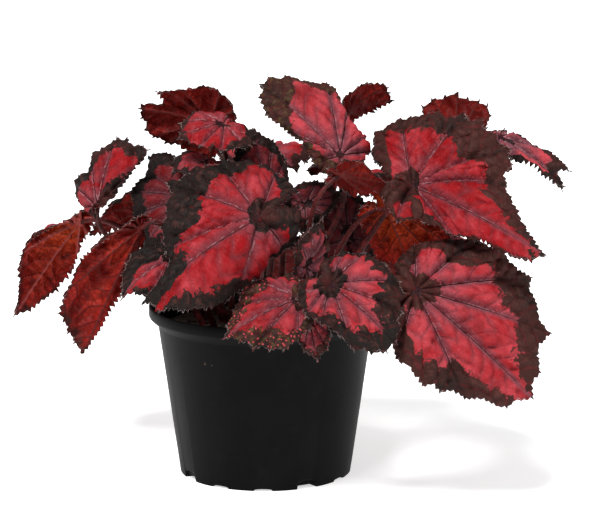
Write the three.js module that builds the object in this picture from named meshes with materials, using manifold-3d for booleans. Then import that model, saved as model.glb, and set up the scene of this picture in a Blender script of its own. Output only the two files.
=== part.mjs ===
// Potted rex begonia: a tapered nursery pot, the soil that fills it, and a node for each leaf, whose blade
// and petiole have grown together. Millimetres, +Z up, origin under the middle of the pot, front at -Y.
import * as THREE from "three";
import { mergeVertices } from "three/addons/utils/BufferGeometryUtils.js";
import Module from "manifold-3d";

const wasm = await Module();
wasm.setup();

// Pot.
const POT_HEIGHT = 113;
const BASE_RADIUS = 57;
const WALL_TOP_RADIUS = 71.4;
const LIP_RADIUS = 77.3;
const LIP_FOOT = 101;
const LIP_FULL = 106;
const WALL = 1.6;
const FLOOR = 2.4;
const POT_SIDES = 60;

// Notches round the pot's foot, one every 30 degrees. Every third is deep enough to drain the pot.
const NOTCHES = 12;
const FIRST_NOTCH = 29;
const DEEP_EVERY = 3;
const DEEP_NOTCH = { wide: 14, tall: 5.5 };
const SHALLOW_NOTCH = { wide: 12, tall: 1.4 };
const NOTCH_DEPTH = 8;
const NOTCH_STEPS = 4;

// Soil.
const SOIL_TOP = 98;
const SOIL_CROWN = 5;
const SOIL_SIDES = 32;
const GAP = 0.3;

// Leaves.
const BLADE_THICK = 0.8;
const SINUS = 0.12;
const NOTCH_SHARE = 0.14;
const FULL_NOTCH_SPAN = 18;
const INNER_RING = 0.36;
const OUTER_RINGS = [0.7, 1];
const SPOKE_STEPS = 24;

// Petioles.
const PETIOLE_TOP = 1.4;
const PETIOLE_FOOT = 2.4;
const PETIOLE_SEAT = 0.6;
const PETIOLE_SIDES = 5;
const PETIOLE_STEPS = 6;
const PETIOLE_END = 84;
const HOLE_SIDES = 6;
const HOLE_ABOVE = 12;
const RISE = 0.45;
const MEET = 0.35;
const JOIN_ANGLE = 40;
const MOST_LEAN = 0.5;
const LEAN_REACH = 160;

// Teeth of an ordinary half blade as [angle from the midrib, reach], fine on large leaves, coarse on small.
const FINE_TEETH = [
  [13, 0.88], [27, 0.84], [41, 0.78], [56, 0.78], [72, 0.72],
  [90, 0.71], [109, 0.66], [129, 0.65], [149, 0.6], [167, 0.46],
];
const COARSE_TEETH = [[20, 0.86], [44, 0.78], [72, 0.72], [104, 0.68], [136, 0.63], [164, 0.48]];

// Both halves of an ordinary blade: one half larger than the other, as begonias have it, its sides scaled
// by width and its back lobes by tail.
const LOPSIDED = 0.1;
function plainTeeth(half, width = 1, tail = 1) {
  const teeth = [[0, 1]];
  for (const side of [-1, 1]) {
    for (const [angle, reach] of half) {
      const across = Math.sin(degrees(angle));
      const size = (1 + side * LOPSIDED * across) * (1 + (width - 1) * across ** 2);
      teeth.push([side * angle, reach * size * (angle > 90 ? tail : 1)]);
    }
  }
  return teeth;
}

function degrees(angle) {
  return THREE.MathUtils.degToRad(angle);
}

// Each leaf: where the petiole meets the blade and where the tip is; the azimuth (0 front, 90 right) and
// elevation that its upper side faces; how far it droops towards its tip, left, right and back, and folds
// up on the left and right, in degrees; its edge wave (height, count, start); its teeth, as [angle, reach],
// left positive; and where its petiole leaves the soil.
const LEAVES = {
  leaf_front_left: {
    junction: [-3, -76, 185],
    tip: [-77, -112, 136],
    faces: [-20, 34],
    droop: [30, 50, 18, 20],
    fold: [-60, 4],
    wave: [5, 6, 40],
    teeth: [
      [-170, 0.42], [-146, 0.54], [-134, 0.59], [-122, 0.58], [-108, 0.6], [-94, 0.64], [-80, 0.67],
      [-68, 0.72], [-50, 0.64], [-36, 0.67], [-28, 0.67], [-20, 0.68], [-10, 0.7], [-4, 0.82],
      [0, 1.02], [8, 0.95], [15, 0.84], [22, 0.72], [29, 0.62], [41, 0.48], [64, 0.42], [88, 0.4],
      [110, 0.38], [140, 0.34], [170, 0.34],
    ],
    foot: [-1, -27],
  },
  leaf_low_right: {
    junction: [96, -88, 141],
    tip: [172, -96, 71],
    faces: [14, 22],
    droop: [22, 20, 24, 50],
    fold: [6, 6],
    wave: [6, 6, 0],
    teeth: [
      [-160, 0.25], [-125, 0.28], [-92, 0.3], [-66, 0.45], [-46, 0.6], [-36, 0.65], [-24, 0.74],
      [-10, 0.93], [0, 1], [9, 0.93], [26, 0.9], [38, 0.8], [50, 0.78], [66, 0.63], [82, 0.54],
      [102, 0.4], [128, 0.33], [158, 0.25],
    ],
    foot: [35, -32],
  },
  leaf_upper_right: {
    junction: [95, -45, 200],
    tip: [177, -100, 166],
    faces: [-2, 34],
    droop: [26, 10, 30, 18],
    fold: [2, 40],
    wave: [4, 6, 0],
    teeth: [
      [-144, 0.2], [-96, 0.24], [-62, 0.38], [-38, 0.34], [-22, 0.48], [-12, 0.62], [-8, 0.82],
      [-5, 0.95], [0, 1.03], [4, 0.88], [8, 0.8], [14, 0.72], [21, 0.65], [31, 0.6], [44, 0.64],
      [54, 0.66], [66, 0.62], [79, 0.62], [94, 0.62], [116, 0.63], [136, 0.65], [153, 0.7],
      [168, 0.45],
    ],
    foot: [34, -16],
  },
  leaf_top_upright: {
    junction: [49, -20, 216],
    tip: [2, 10, 259],
    faces: [18, 35],
    droop: [14, 18, 18, 10],
    fold: [6, 6],
    wave: [6, 6, 0],
    teeth: [
      [-150, 0.22], [-116, 0.33], [-90, 0.37], [-66, 0.4], [-50, 0.48], [-39, 0.72], [-34, 0.83],
      [-22, 0.92], [-12, 1.02], [-4, 1.09], [3, 1.06], [13, 0.95], [20, 0.8], [25, 0.57], [34, 0.36],
      [75, 0.28], [140, 0.26],
    ],
    foot: [13, 3],
  },
  leaf_front_middle: {
    junction: [42, -100, 147],
    tip: [84, -118, 112],
    faces: [10, 35],
    droop: [30, 20, 24, 14],
    fold: [6, 6],
    wave: [5, 6, 0],
    teeth: [
      [-154, 0.36], [-116, 0.42], [-84, 0.48], [-60, 0.5], [-40, 0.62], [-30, 0.83], [-18, 0.93],
      [-8, 1], [0, 1], [10, 0.92], [22, 0.86], [40, 0.84], [50, 0.8], [66, 0.68], [90, 0.6],
      [114, 0.5], [150, 0.32],
    ],
    foot: [24, -33],
  },
  leaf_front_lower: {
    junction: [21, -90, 135],
    tip: [-26, -110, 114],
    faces: [-15, 45],
    droop: [30, 30, 24, 20],
    fold: [6, 6],
    wave: [8, 5, 0],
    teeth: [
      [-165, 0.3], [-138, 0.4], [-110, 0.46], [-84, 0.54], [-62, 0.6], [-42, 0.68], [-26, 0.76],
      [-12, 0.88], [0, 1], [12, 0.9], [24, 0.86], [36, 0.78], [48, 0.72], [62, 0.56], [78, 0.46],
      [98, 0.38], [126, 0.32], [160, 0.24],
    ],
    foot: [3, -37],
  },
  leaf_front_small: {
    junction: [29, -80, 121],
    tip: [34, -88, 94],
    faces: [0, 12],
    droop: [20, 30, 30, 20],
    fold: [0, 0],
    wave: [8, 5, 0],
    teeth: plainTeeth(COARSE_TEETH, 0.55, 0.35),
    foot: [13, -43],
  },
  leaf_edge_on: {
    junction: [27, -58, 150],
    tip: [38, -52, 182],
    faces: [55, 10],
    droop: [15, 10, 10, 10],
    fold: [10, 10],
    wave: [8, 5, 0],
    teeth: plainTeeth(COARSE_TEETH, 0.75, 0.7),
    foot: [11, -22],
  },
  leaf_right_underside: {
    junction: [79, -13, 180],
    tip: [126, -23, 154],
    faces: [172, 18],
    droop: [30, 20, 20, 20],
    fold: [10, 10],
    wave: [8, 5, 0],
    teeth: plainTeeth(COARSE_TEETH, 1, 0.6),
    foot: [25, -1],
  },
  leaf_middle_underside: {
    junction: [48, -38, 206],
    tip: [83, -46, 200],
    faces: [175, 40],
    droop: [30, 20, 20, 20],
    fold: [10, 10],
    wave: [8, 5, 0],
    teeth: plainTeeth(COARSE_TEETH, 0.7, 0.6),
    foot: [21, -17],
  },
  leaf_top_behind: {
    junction: [55, 46, 234],
    tip: [86, 62, 239],
    faces: [178, 28],
    droop: [30, 28, -11, 5],
    fold: [4, 0],
    wave: [8, 5, 0],
    teeth: [
      [-140, 0.3], [-116, 0.3], [-110, 0.47], [-88, 0.48], [-60, 0.62], [-50, 0.69], [-36, 0.88],
      [-30, 0.94], [-16, 0.97], [-4, 1.03], [4, 1], [14, 0.6], [28, 0.4], [80, 0.26], [140, 0.24],
    ],
    foot: [17, 20],
  },
  leaf_upper_right_behind: {
    junction: [128, 48, 219],
    tip: [129, 66, 245],
    faces: [180, 30],
    droop: [30, 20, 20, 20],
    fold: [10, 10],
    wave: [8, 5, 0],
    teeth: [
      [-146, 0.34], [-104, 0.48], [-72, 0.7], [-58, 0.9], [-46, 1.04], [-32, 1.02], [-16, 0.96],
      [0, 1], [15, 1], [30, 1.04], [43, 1.03], [56, 0.92], [72, 0.72], [104, 0.48], [146, 0.34],
    ],
    foot: [28, 12],
  },
  leaf_far_right: {
    junction: [152, -25, 229],
    tip: [195, -45, 200],
    faces: [32, 48],
    droop: [6, 14, 54, 10],
    fold: [29, 4],
    wave: [8, 5, 0],
    teeth: [
      [-150, 0.12], [-100, 0.12], [-60, 0.18], [-22, 0.39], [-10, 0.53], [-8, 0.76], [-3, 1],
      [2, 0.98], [6, 0.8], [11, 0.95], [15, 0.84], [24, 0.6], [34, 0.38], [57, 0.16], [100, 0.1],
      [146, 0.1],
    ],
    foot: [38, 4],
  },
  leaf_upper_left: {
    junction: [-37, 25, 230],
    tip: [-85, 30, 240],
    faces: [172, 22],
    droop: [20, 10, 10, 20],
    fold: [5, 5],
    wave: [8, 5, 0],
    teeth: [
      [-162, 0.36], [-130, 0.5], [-100, 0.56], [-74, 0.6], [-40, 0.76], [-28, 0.84], [-20, 0.93],
      [-8, 0.96], [0, 1], [5, 0.98], [11, 0.68], [17, 0.86], [30, 0.76], [46, 0.64], [73, 0.6],
      [99, 0.57], [132, 0.55], [165, 0.4],
    ],
    foot: [-13, 9],
  },
  leaf_upper_left_inner: {
    junction: [-27, -8, 235],
    tip: [-57, -25, 227],
    faces: [-10, 45],
    droop: [30, 20, 30, 20],
    fold: [10, 10],
    wave: [8, 5, 0],
    teeth: [
      [-165, 0.3], [-140, 0.34], [-110, 0.36], [-80, 0.4], [-50, 0.6], [-28, 0.84], [-13, 0.88],
      [0, 1], [13, 0.88], [27, 0.84], [41, 0.78], [56, 0.78], [72, 0.76], [90, 0.78], [109, 0.73],
      [129, 0.7], [149, 0.64], [167, 0.48],
    ],
    foot: [-5, -7],
  },
  leaf_left_inner: {
    junction: [-38, -10, 210],
    tip: [-61, -30, 206],
    faces: [-20, 60],
    droop: [30, 20, 30, 20],
    fold: [10, 10],
    wave: [8, 5, 0],
    teeth: plainTeeth(COARSE_TEETH),
    foot: [-19, -8],
  },
  leaf_left_raised: {
    junction: [-109, -21, 182],
    tip: [-74, -13, 218],
    faces: [-20, 30],
    droop: [16, 14, 14, 10],
    fold: [6, 70],
    wave: [5, 6, 0],
    teeth: [
      [-140, 0.16], [-48, 0.23], [-12, 0.33], [-4, 0.55], [-1, 0.86], [2, 1.01], [8, 1], [22, 1],
      [33, 1], [45, 0.84], [54, 0.78], [61, 0.57], [76, 0.56], [90, 0.53], [102, 0.42], [126, 0.26],
      [156, 0.16],
    ],
    foot: [-36, 5],
  },
  leaf_left_sloping: {
    junction: [-67, 18, 179],
    tip: [-120, 28, 153],
    faces: [-131, 15],
    droop: [8, 9, 9, 11],
    fold: [0, 6],
    wave: [8, 5, 0],
    teeth: [
      [-150, 0.3], [-100, 0.3], [-50, 0.26], [-20, 0.34], [-8, 0.56], [-3, 0.85], [0, 1], [8, 0.84],
      [24, 0.71], [46, 0.63], [66, 0.56], [103, 0.46], [150, 0.3],
    ],
    foot: [-27, 9],
  },
  leaf_left_hanging: {
    junction: [-78, -68, 177],
    tip: [-117, -77, 95],
    faces: [-172, 12],
    droop: [10, 0, 10, 0],
    fold: [0, 105],
    wave: [5, 5, 0],
    teeth: [
      [-155, 0.1], [-120, 0.1], [-90, 0.1], [-46, 0.2], [-18, 0.32], [-8, 0.55], [0, 1], [5, 0.95],
      [10, 0.91], [15, 0.86], [20, 0.84], [25, 0.7], [32, 0.58], [40, 0.48], [48, 0.32], [60, 0.18],
      [80, 0.12], [120, 0.1], [155, 0.1],
    ],
    foot: [-32, -18],
  },
  leaf_left_low: {
    junction: [-58, -79, 160],
    tip: [-91, -103, 139],
    faces: [-25, 40],
    droop: [30, 20, 30, 30],
    fold: [6, 6],
    wave: [8, 5, 0],
    teeth: plainTeeth(FINE_TEETH, 0.8, 0.45),
    foot: [-20, -32],
  },
  leaf_middle_left: {
    junction: [1, -7, 190],
    tip: [-9, 2, 233],
    faces: [0, 25],
    droop: [20, 20, 20, 20],
    fold: [10, 10],
    wave: [8, 5, 0],
    teeth: plainTeeth(COARSE_TEETH, 0.56),
    foot: [0, -3],
  },
  leaf_middle_right: {
    junction: [26, -2, 180],
    tip: [52, 4, 187],
    faces: [0, 25],
    droop: [20, 20, 20, 20],
    fold: [10, 10],
    wave: [8, 5, 0],
    teeth: plainTeeth(COARSE_TEETH, 0.75, 1),
    foot: [8, -3],
  },
  leaf_back_right: {
    junction: [61, 68, 188],
    tip: [113, 126, 150],
    faces: [138, 50],
    droop: [40, 20, 20, 20],
    fold: [8, 8],
    wave: [8, 5, 0],
    teeth: plainTeeth(COARSE_TEETH, 0.95, 0.25),
    foot: [24, 27],
  },
  leaf_back_middle: {
    junction: [0, 98, 166],
    tip: [2, 178, 124],
    faces: [182, 50],
    droop: [40, 20, 20, 20],
    fold: [8, 8],
    wave: [8, 5, 0],
    teeth: plainTeeth(COARSE_TEETH, 0.9, 0.6),
    foot: [0, 35],
  },
  leaf_back_left: {
    junction: [-57, 97, 168],
    tip: [-105, 161, 132],
    faces: [224, 50],
    droop: [40, 20, 20, 20],
    fold: [8, 8],
    wave: [8, 5, 0],
    teeth: plainTeeth(COARSE_TEETH, 0.8, 0.45),
    foot: [-21, 35],
  },
  leaf_back_low_left: {
    junction: [-84, 62, 128],
    tip: [-126, 112, 96],
    faces: [248, 50],
    droop: [40, 20, 20, 20],
    fold: [8, 8],
    wave: [8, 5, 0],
    teeth: plainTeeth(COARSE_TEETH, 1, 0.65),
    foot: [-30, 22],
  },
  leaf_right_low: {
    junction: [112, 26, 132],
    tip: [176, 38, 90],
    faces: [108, 50],
    droop: [40, 20, 20, 20],
    fold: [8, 8],
    wave: [8, 5, 0],
    teeth: plainTeeth(COARSE_TEETH, 1, 0.8),
    foot: [40, 14],
  },
  leaf_back_top: {
    junction: [2, 59, 203],
    tip: [4, 127, 192],
    faces: [178, 62],
    droop: [40, 20, 20, 20],
    fold: [8, 8],
    wave: [8, 5, 0],
    teeth: plainTeeth(COARSE_TEETH, 0.8, 0.8),
    foot: [1, 21],
  },
  leaf_back_low_middle: {
    junction: [-2, 114, 126],
    tip: [0, 172, 80],
    faces: [184, 50],
    droop: [40, 20, 20, 20],
    fold: [8, 8],
    wave: [8, 5, 0],
    teeth: plainTeeth(COARSE_TEETH, 1, 0.6),
    foot: [-8, 38],
  },
  leaf_back_low_right: {
    junction: [60, 94, 136],
    tip: [94, 148, 96],
    faces: [156, 50],
    droop: [40, 20, 20, 20],
    fold: [8, 8],
    wave: [8, 5, 0],
    teeth: plainTeeth(COARSE_TEETH, 1, 0.8),
    foot: [22, 34],
  },
  leaf_far_left: {
    junction: [-123, 20, 165],
    tip: [-169, 18, 98],
    faces: [-155, 36],
    droop: [15, -13, 19, -15],
    fold: [0, -17],
    wave: [5, 6, 0],
    teeth: [
      [-140, 0.12], [-60, 0.14], [-38, 0.24], [-30, 0.34], [-24, 0.52], [-18, 0.66], [-10, 0.74],
      [-5, 0.87], [0, 1], [3, 0.91], [8, 0.81], [18, 0.69], [36, 0.6], [46, 0.46], [56, 0.24],
      [75, 0.1], [137, 0.1],
    ],
    foot: [-40, -7],
  },
  leaf_left_shaded: {
    junction: [-51, -18, 188],
    tip: [-81, -34, 155],
    faces: [-30, 15],
    droop: [15, 15, 15, 15],
    fold: [6, 6],
    wave: [8, 5, 0],
    teeth: [
      [-165, 0.36], [-138, 0.62], [-118, 0.9], [-102, 1], [-88, 0.82], [-62, 0.86], [-34, 0.8],
      [-14, 0.9], [0, 1], [16, 0.88], [44, 0.78], [72, 0.7], [104, 0.66], [136, 0.6], [164, 0.46],
    ],
    foot: [-27, -3],
  },
  leaf_middle_shaded: {
    junction: [55, 8, 156],
    tip: [52, 14, 192],
    faces: [0, 10],
    droop: [15, 15, 15, 15],
    fold: [6, 6],
    wave: [8, 5, 0],
    teeth: plainTeeth(COARSE_TEETH, 1.1, 1),
    foot: [21, 9],
  },
  leaf_right_middle: {
    junction: [111, 15, 157],
    tip: [166, 17, 117],
    faces: [88, 50],
    droop: [30, 20, 20, 20],
    fold: [8, 8],
    wave: [8, 5, 0],
    teeth: plainTeeth(COARSE_TEETH, 0.82, 0.5),
    foot: [47, 4],
  },
};

// A closed mesh's geometry as a solid, and a solid as a geometry.
const MERGE = 1e-4;
function solid(geometry) {
  const bare = geometry.clone();
  bare.deleteAttribute("normal");
  bare.deleteAttribute("uv");
  const merged = mergeVertices(bare, MERGE);
  return new wasm.Manifold(
    new wasm.Mesh({
      numProp: 3,
      vertProperties: new Float32Array(merged.attributes.position.array),
      triVerts: new Uint32Array(merged.index.array),
    }),
  );
}

function geometryOf(body) {
  const mesh = body.getMesh();
  const geometry = new THREE.BufferGeometry();
  geometry.setAttribute("position", new THREE.BufferAttribute(mesh.vertProperties, 3));
  geometry.setIndex(new THREE.BufferAttribute(mesh.triVerts, 1));
  geometry.computeVertexNormals();
  return geometry;
}

function named(name, geometry, material) {
  const mesh = new THREE.Mesh(geometry, material);
  mesh.name = name;
  return mesh;
}

// A body turned about Z from [radius, height] points, which start and end on the axis.
function turned(points, sides) {
  const lathe = new THREE.LatheGeometry(points.map(([r, z]) => new THREE.Vector2(r, z)), sides);
  return lathe.rotateX(Math.PI / 2);
}

// The direction of an azimuth (0 is the front, 90 the right) and elevation.
function facing([azimuth, elevation]) {
  const a = degrees(azimuth);
  const e = degrees(elevation);
  return new THREE.Vector3(Math.cos(e) * Math.sin(a), -Math.cos(e) * Math.cos(a), Math.sin(e));
}

// The margin as [angle, reach] from the midrib, with a notch between each two teeth.
function margin(leaf) {
  const teeth = [...leaf.teeth].sort((p, q) => p[0] - q[0]);
  const points = [[-180, SINUS]];
  teeth.forEach(([angle, reach], i) => {
    points.push([angle, reach]);
    const next = teeth[i + 1];
    if (!next) return;
    const depth = NOTCH_SHARE * Math.min(1, (next[0] - angle) / FULL_NOTCH_SPAN);
    points.push([(angle + next[0]) / 2, ((reach + next[1]) / 2) * (1 - depth)]);
  });
  return points;
}

// How steeply the blade rises from its own plane, at an angle from the midrib and a share of the reach.
function slope(leaf, angle, share) {
  const a = degrees(angle);
  const across = Math.sin(a) ** 2;
  const [tip, left, right, back] = leaf.droop;
  const along = Math.cos(a) > 0 ? tip : back;
  const side = angle > 0 ? left : right;
  const fold = (angle > 0 ? leaf.fold[0] : leaf.fold[1]) * across;
  const droop = (along * (1 - across) + side * across) * share;
  const [height, count, start] = leaf.wave;
  const wave = height * Math.sin(degrees(count * angle + start)) * share ** 1.5;
  return degrees(fold - droop + wave);
}

// Distance out and up along one spoke of the blade, for a share of its reach.
function spoke(leaf, angle, share) {
  let out = 0;
  let up = 0;
  const path = [[0, 0]];
  for (let i = 0; i < SPOKE_STEPS; i++) {
    const s = slope(leaf, angle, (i + 0.5) / SPOKE_STEPS);
    out += Math.cos(s) / SPOKE_STEPS;
    up += Math.sin(s) / SPOKE_STEPS;
    path.push([out, up]);
  }
  const k = Math.min(Math.floor(share * SPOKE_STEPS), SPOKE_STEPS - 1);
  const f = share * SPOKE_STEPS - k;
  return [0, 1].map((c) => path[k][c] * (1 - f) + path[k + 1][c] * f);
}

// The blade's own axes at the petiole (along the midrib, to its left, up) and its length.
function bladeFrame(leaf) {
  const junction = new THREE.Vector3(...leaf.junction);
  const chord = new THREE.Vector3(...leaf.tip).sub(junction);
  const [out, up] = spoke({ ...leaf, wave: [0, 0, 0] }, 0, 1);
  const length = chord.length() / Math.hypot(out, up);
  chord.normalize();
  const face = facing(leaf.faces);
  const flat = face.addScaledVector(chord, -face.dot(chord)).normalize();
  const rise = Math.atan2(up, out);
  const along = chord.clone().multiplyScalar(Math.cos(rise)).addScaledVector(flat, -Math.sin(rise));
  const normal = chord.clone().multiplyScalar(Math.sin(rise)).addScaledVector(flat, Math.cos(rise));
  const left = new THREE.Vector3().crossVectors(normal, along);
  return { junction, along, left, normal, length };
}

// The blade's middle surface: the junction, an inner ring with a point for every second one of the margin,
// then whole rings out to the toothed margin.
function bladeSurface(leaf) {
  const frame = bladeFrame(leaf);
  const edge = margin(leaf);
  const many = edge.length;
  const place = ([angle, reach], share) => {
    const a = degrees(angle);
    const size = frame.length * reach;
    const [out, up] = spoke(leaf, angle, share);
    return frame.junction
      .clone()
      .addScaledVector(frame.along, Math.cos(a) * out * size)
      .addScaledVector(frame.left, Math.sin(a) * out * size)
      .addScaledVector(frame.normal, up * size);
  };
  const inner = edge.filter((_, i) => i % 2 === 0);
  const few = inner.length;
  const points = [frame.junction.clone(), ...inner.map((point) => place(point, INNER_RING))];
  for (const share of OUTER_RINGS) points.push(...edge.map((point) => place(point, share)));
  const ringStart = (ring) => 1 + few + ring * many;
  const faces = [];
  for (let i = 0; i < few; i++) {
    const a = 1 + i;
    const b = 1 + ((i + 1) % few);
    const [c, d, e] = [0, 1, 2].map((step) => ringStart(0) + ((2 * i + step) % many));
    faces.push([0, a, b], [a, c, d], [a, d, b]);
    if (d !== e) faces.push([b, d, e]);
  }
  for (let i = 0; i < many; i++) {
    const next = (i + 1) % many;
    const [a, b] = [ringStart(0) + i, ringStart(0) + next];
    const [c, d] = [ringStart(1) + i, ringStart(1) + next];
    faces.push([a, c, d], [a, d, b]);
  }
  const rim = edge.map((_, i) => ringStart(1) + i);
  return { frame, points, faces, rim };
}

// A sheet of even thickness from the middle surface, its two faces split into triangles alike.
function thickened({ points, faces, rim }, thickness) {
  const normals = points.map(() => new THREE.Vector3());
  for (const [a, b, c] of faces) {
    const cross = new THREE.Vector3()
      .subVectors(points[b], points[a])
      .cross(new THREE.Vector3().subVectors(points[c], points[a]));
    [a, b, c].forEach((k) => normals[k].add(cross));
  }
  normals.forEach((normal) => normal.normalize());
  const position = [];
  for (const side of [thickness / 2, -thickness / 2]) {
    points.forEach((p, k) => position.push(...p.clone().addScaledVector(normals[k], side)));
  }
  const lower = points.length;
  const index = [];
  for (const [a, b, c] of faces) index.push(a, b, c, lower + a, lower + c, lower + b);
  rim.forEach((a, i) => {
    const b = rim[(i + 1) % rim.length];
    index.push(a, lower + a, lower + b, a, lower + b, b);
  });
  return indexed(position, index);
}

function indexed(position, index) {
  const geometry = new THREE.BufferGeometry();
  geometry.setAttribute("position", new THREE.Float32BufferAttribute(position, 3));
  geometry.setIndex(index);
  return geometry;
}

// A round stem of changing radius along a list of centres.
function stem(centres, radii, sides) {
  const position = [];
  const index = [];
  const last = centres.length - 1;
  let side = new THREE.Vector3(1, 0, 0);
  centres.forEach((centre, i) => {
    const before = centres[Math.max(i - 1, 0)];
    const after = centres[Math.min(i + 1, last)];
    const forward = new THREE.Vector3().subVectors(after, before).normalize();
    side = side.clone().addScaledVector(forward, -side.dot(forward)).normalize();
    const other = new THREE.Vector3().crossVectors(forward, side);
    for (let k = 0; k < sides; k++) {
      const a = (2 * Math.PI * k) / sides;
      const p = centre.clone();
      p.addScaledVector(side, radii[i] * Math.cos(a)).addScaledVector(other, radii[i] * Math.sin(a));
      position.push(...p);
    }
  });
  for (let i = 0; i < last; i++) {
    for (let k = 0; k < sides; k++) {
      const a = i * sides + k;
      const b = i * sides + ((k + 1) % sides);
      index.push(a, b, b + sides, a, b + sides, a + sides);
    }
  }
  const top = last * sides;
  for (let k = 1; k + 1 < sides; k++) index.push(0, k + 1, k, top, top + k, top + k + 1);
  return indexed(position, index);
}

// The petiole's centres and radii, from its buried end up through the soil and out to the blade's
// underside. It leaves the soil leaning outwards, more so under a blade far from the middle.
function petioleOf(leaf, frame) {
  const foot = new THREE.Vector3(...leaf.foot, SOIL_TOP);
  const top = frame.junction.clone().addScaledVector(frame.normal, -PETIOLE_SEAT);
  const [x, y] = leaf.junction;
  const away = Math.hypot(x, y);
  const lean = Math.min(MOST_LEAN, away / LEAN_REACH) / away;
  const start = new THREE.Vector3(lean * x, lean * y, 1).normalize();
  const join = degrees(JOIN_ANGLE);
  const inward = frame.along
    .clone()
    .multiplyScalar(Math.cos(join))
    .addScaledVector(frame.normal, Math.sin(join));
  const reach = foot.distanceTo(top);
  const rise = foot.clone().addScaledVector(start, reach * RISE);
  const meet = top.clone().addScaledVector(inward, -reach * MEET);
  const centres = new THREE.CubicBezierCurve3(foot, rise, meet, top).getPoints(PETIOLE_STEPS);
  const first = new THREE.Vector3().subVectors(centres[1], centres[0]).normalize();
  const radii = centres.map((_, i) => THREE.MathUtils.lerp(PETIOLE_FOOT, PETIOLE_TOP, i / PETIOLE_STEPS));
  centres.unshift(foot.clone().addScaledVector(first, (PETIOLE_END - SOIL_TOP) / first.z));
  radii.unshift(PETIOLE_FOOT);
  return { centres, radii };
}

// The plain hole in the soil that a petiole stands in.
function petioleHole({ centres }) {
  const [end, foot] = centres;
  const out = new THREE.Vector3().subVectors(foot, end).normalize();
  const ends = [end.clone().addScaledVector(out, -GAP), foot.clone().addScaledVector(out, HOLE_ABOVE)];
  const radius = (PETIOLE_FOOT + GAP) / Math.cos(Math.PI / HOLE_SIDES);
  return solid(stem(ends, [radius, radius], HOLE_SIDES));
}

// A notch's arched outline, drawn out through the foot of the pot's wall.
function footNotch({ wide, tall }, azimuth) {
  const outline = new THREE.Shape();
  outline.moveTo(-wide / 2, -tall);
  outline.lineTo(wide / 2, -tall);
  for (let i = 0; i <= NOTCH_STEPS; i++) {
    const a = (Math.PI * i) / NOTCH_STEPS;
    outline.lineTo((wide / 2) * Math.cos(a), tall * Math.sin(a) ** 0.5);
  }
  outline.closePath();
  const cut = new THREE.ExtrudeGeometry(outline, { depth: 2 * NOTCH_DEPTH, bevelEnabled: false });
  cut.translate(0, 0, BASE_RADIUS - NOTCH_DEPTH);
  cut.rotateX(Math.PI / 2);
  cut.rotateZ(degrees(azimuth));
  return solid(cut);
}

function potBody() {
  const shell = turned(
    [
      [0, 0],
      [BASE_RADIUS, 0],
      [WALL_TOP_RADIUS, LIP_FOOT],
      [LIP_RADIUS, LIP_FULL],
      [LIP_RADIUS, POT_HEIGHT],
      [LIP_RADIUS - WALL, POT_HEIGHT],
      [LIP_RADIUS - WALL, LIP_FULL],
      [WALL_TOP_RADIUS - WALL, LIP_FOOT],
      [BASE_RADIUS - WALL, FLOOR],
      [0, FLOOR],
    ],
    POT_SIDES,
  );
  let body = solid(shell);
  for (let i = 0; i < NOTCHES; i++) {
    const shape = i % DEEP_EVERY === 0 ? DEEP_NOTCH : SHALLOW_NOTCH;
    body = body.subtract(footNotch(shape, FIRST_NOTCH + (360 / NOTCHES) * i));
  }
  return body;
}

// The soil, crowned in the middle, with a hole for each petiole.
function soilBody(holes) {
  const base = BASE_RADIUS - WALL - GAP;
  const growth = (WALL_TOP_RADIUS - BASE_RADIUS) / (LIP_FOOT - FLOOR);
  const edge = base + growth * (SOIL_TOP - FLOOR);
  const mound = turned(
    [
      [0, FLOOR + GAP],
      [base, FLOOR + GAP],
      [edge, SOIL_TOP],
      [edge * 0.6, SOIL_TOP + SOIL_CROWN * 0.8],
      [0, SOIL_TOP + SOIL_CROWN],
    ],
    SOIL_SIDES,
  );
  return holes.reduce((body, hole) => body.subtract(hole), solid(mound));
}

const leafMaterial = new THREE.MeshStandardMaterial({ color: 0x8e242b, roughness: 0.5, metalness: 0 });
const potMaterial = new THREE.MeshStandardMaterial({ color: 0x1b1b1c, roughness: 0.4, metalness: 0 });
const soilMaterial = new THREE.MeshStandardMaterial({ color: 0x2b1d14, roughness: 0.95, metalness: 0 });

const group = new THREE.Group();
const holes = [];
for (const [name, leaf] of Object.entries(LEAVES)) {
  const surface = bladeSurface(leaf);
  const petiole = petioleOf(leaf, surface.frame);
  const blade = solid(thickened(surface, BLADE_THICK));
  const body = blade.add(solid(stem(petiole.centres, petiole.radii, PETIOLE_SIDES)));
  holes.push(petioleHole(petiole));
  group.add(named(name, geometryOf(body), leafMaterial));
}
group.add(named("pot", geometryOf(potBody()), potMaterial));
group.add(named("soil", geometryOf(soilBody(holes)), soilMaterial));

export default group;
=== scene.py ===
"""Looks of a potted rex begonia: puckered red and dark leaves on hairy petioles, a nursery pot and soil."""

import math
from dataclasses import dataclass

import bpy
import numpy as np
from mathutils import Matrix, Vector
from mathutils.geometry import delaunay_2d_cdt


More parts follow.
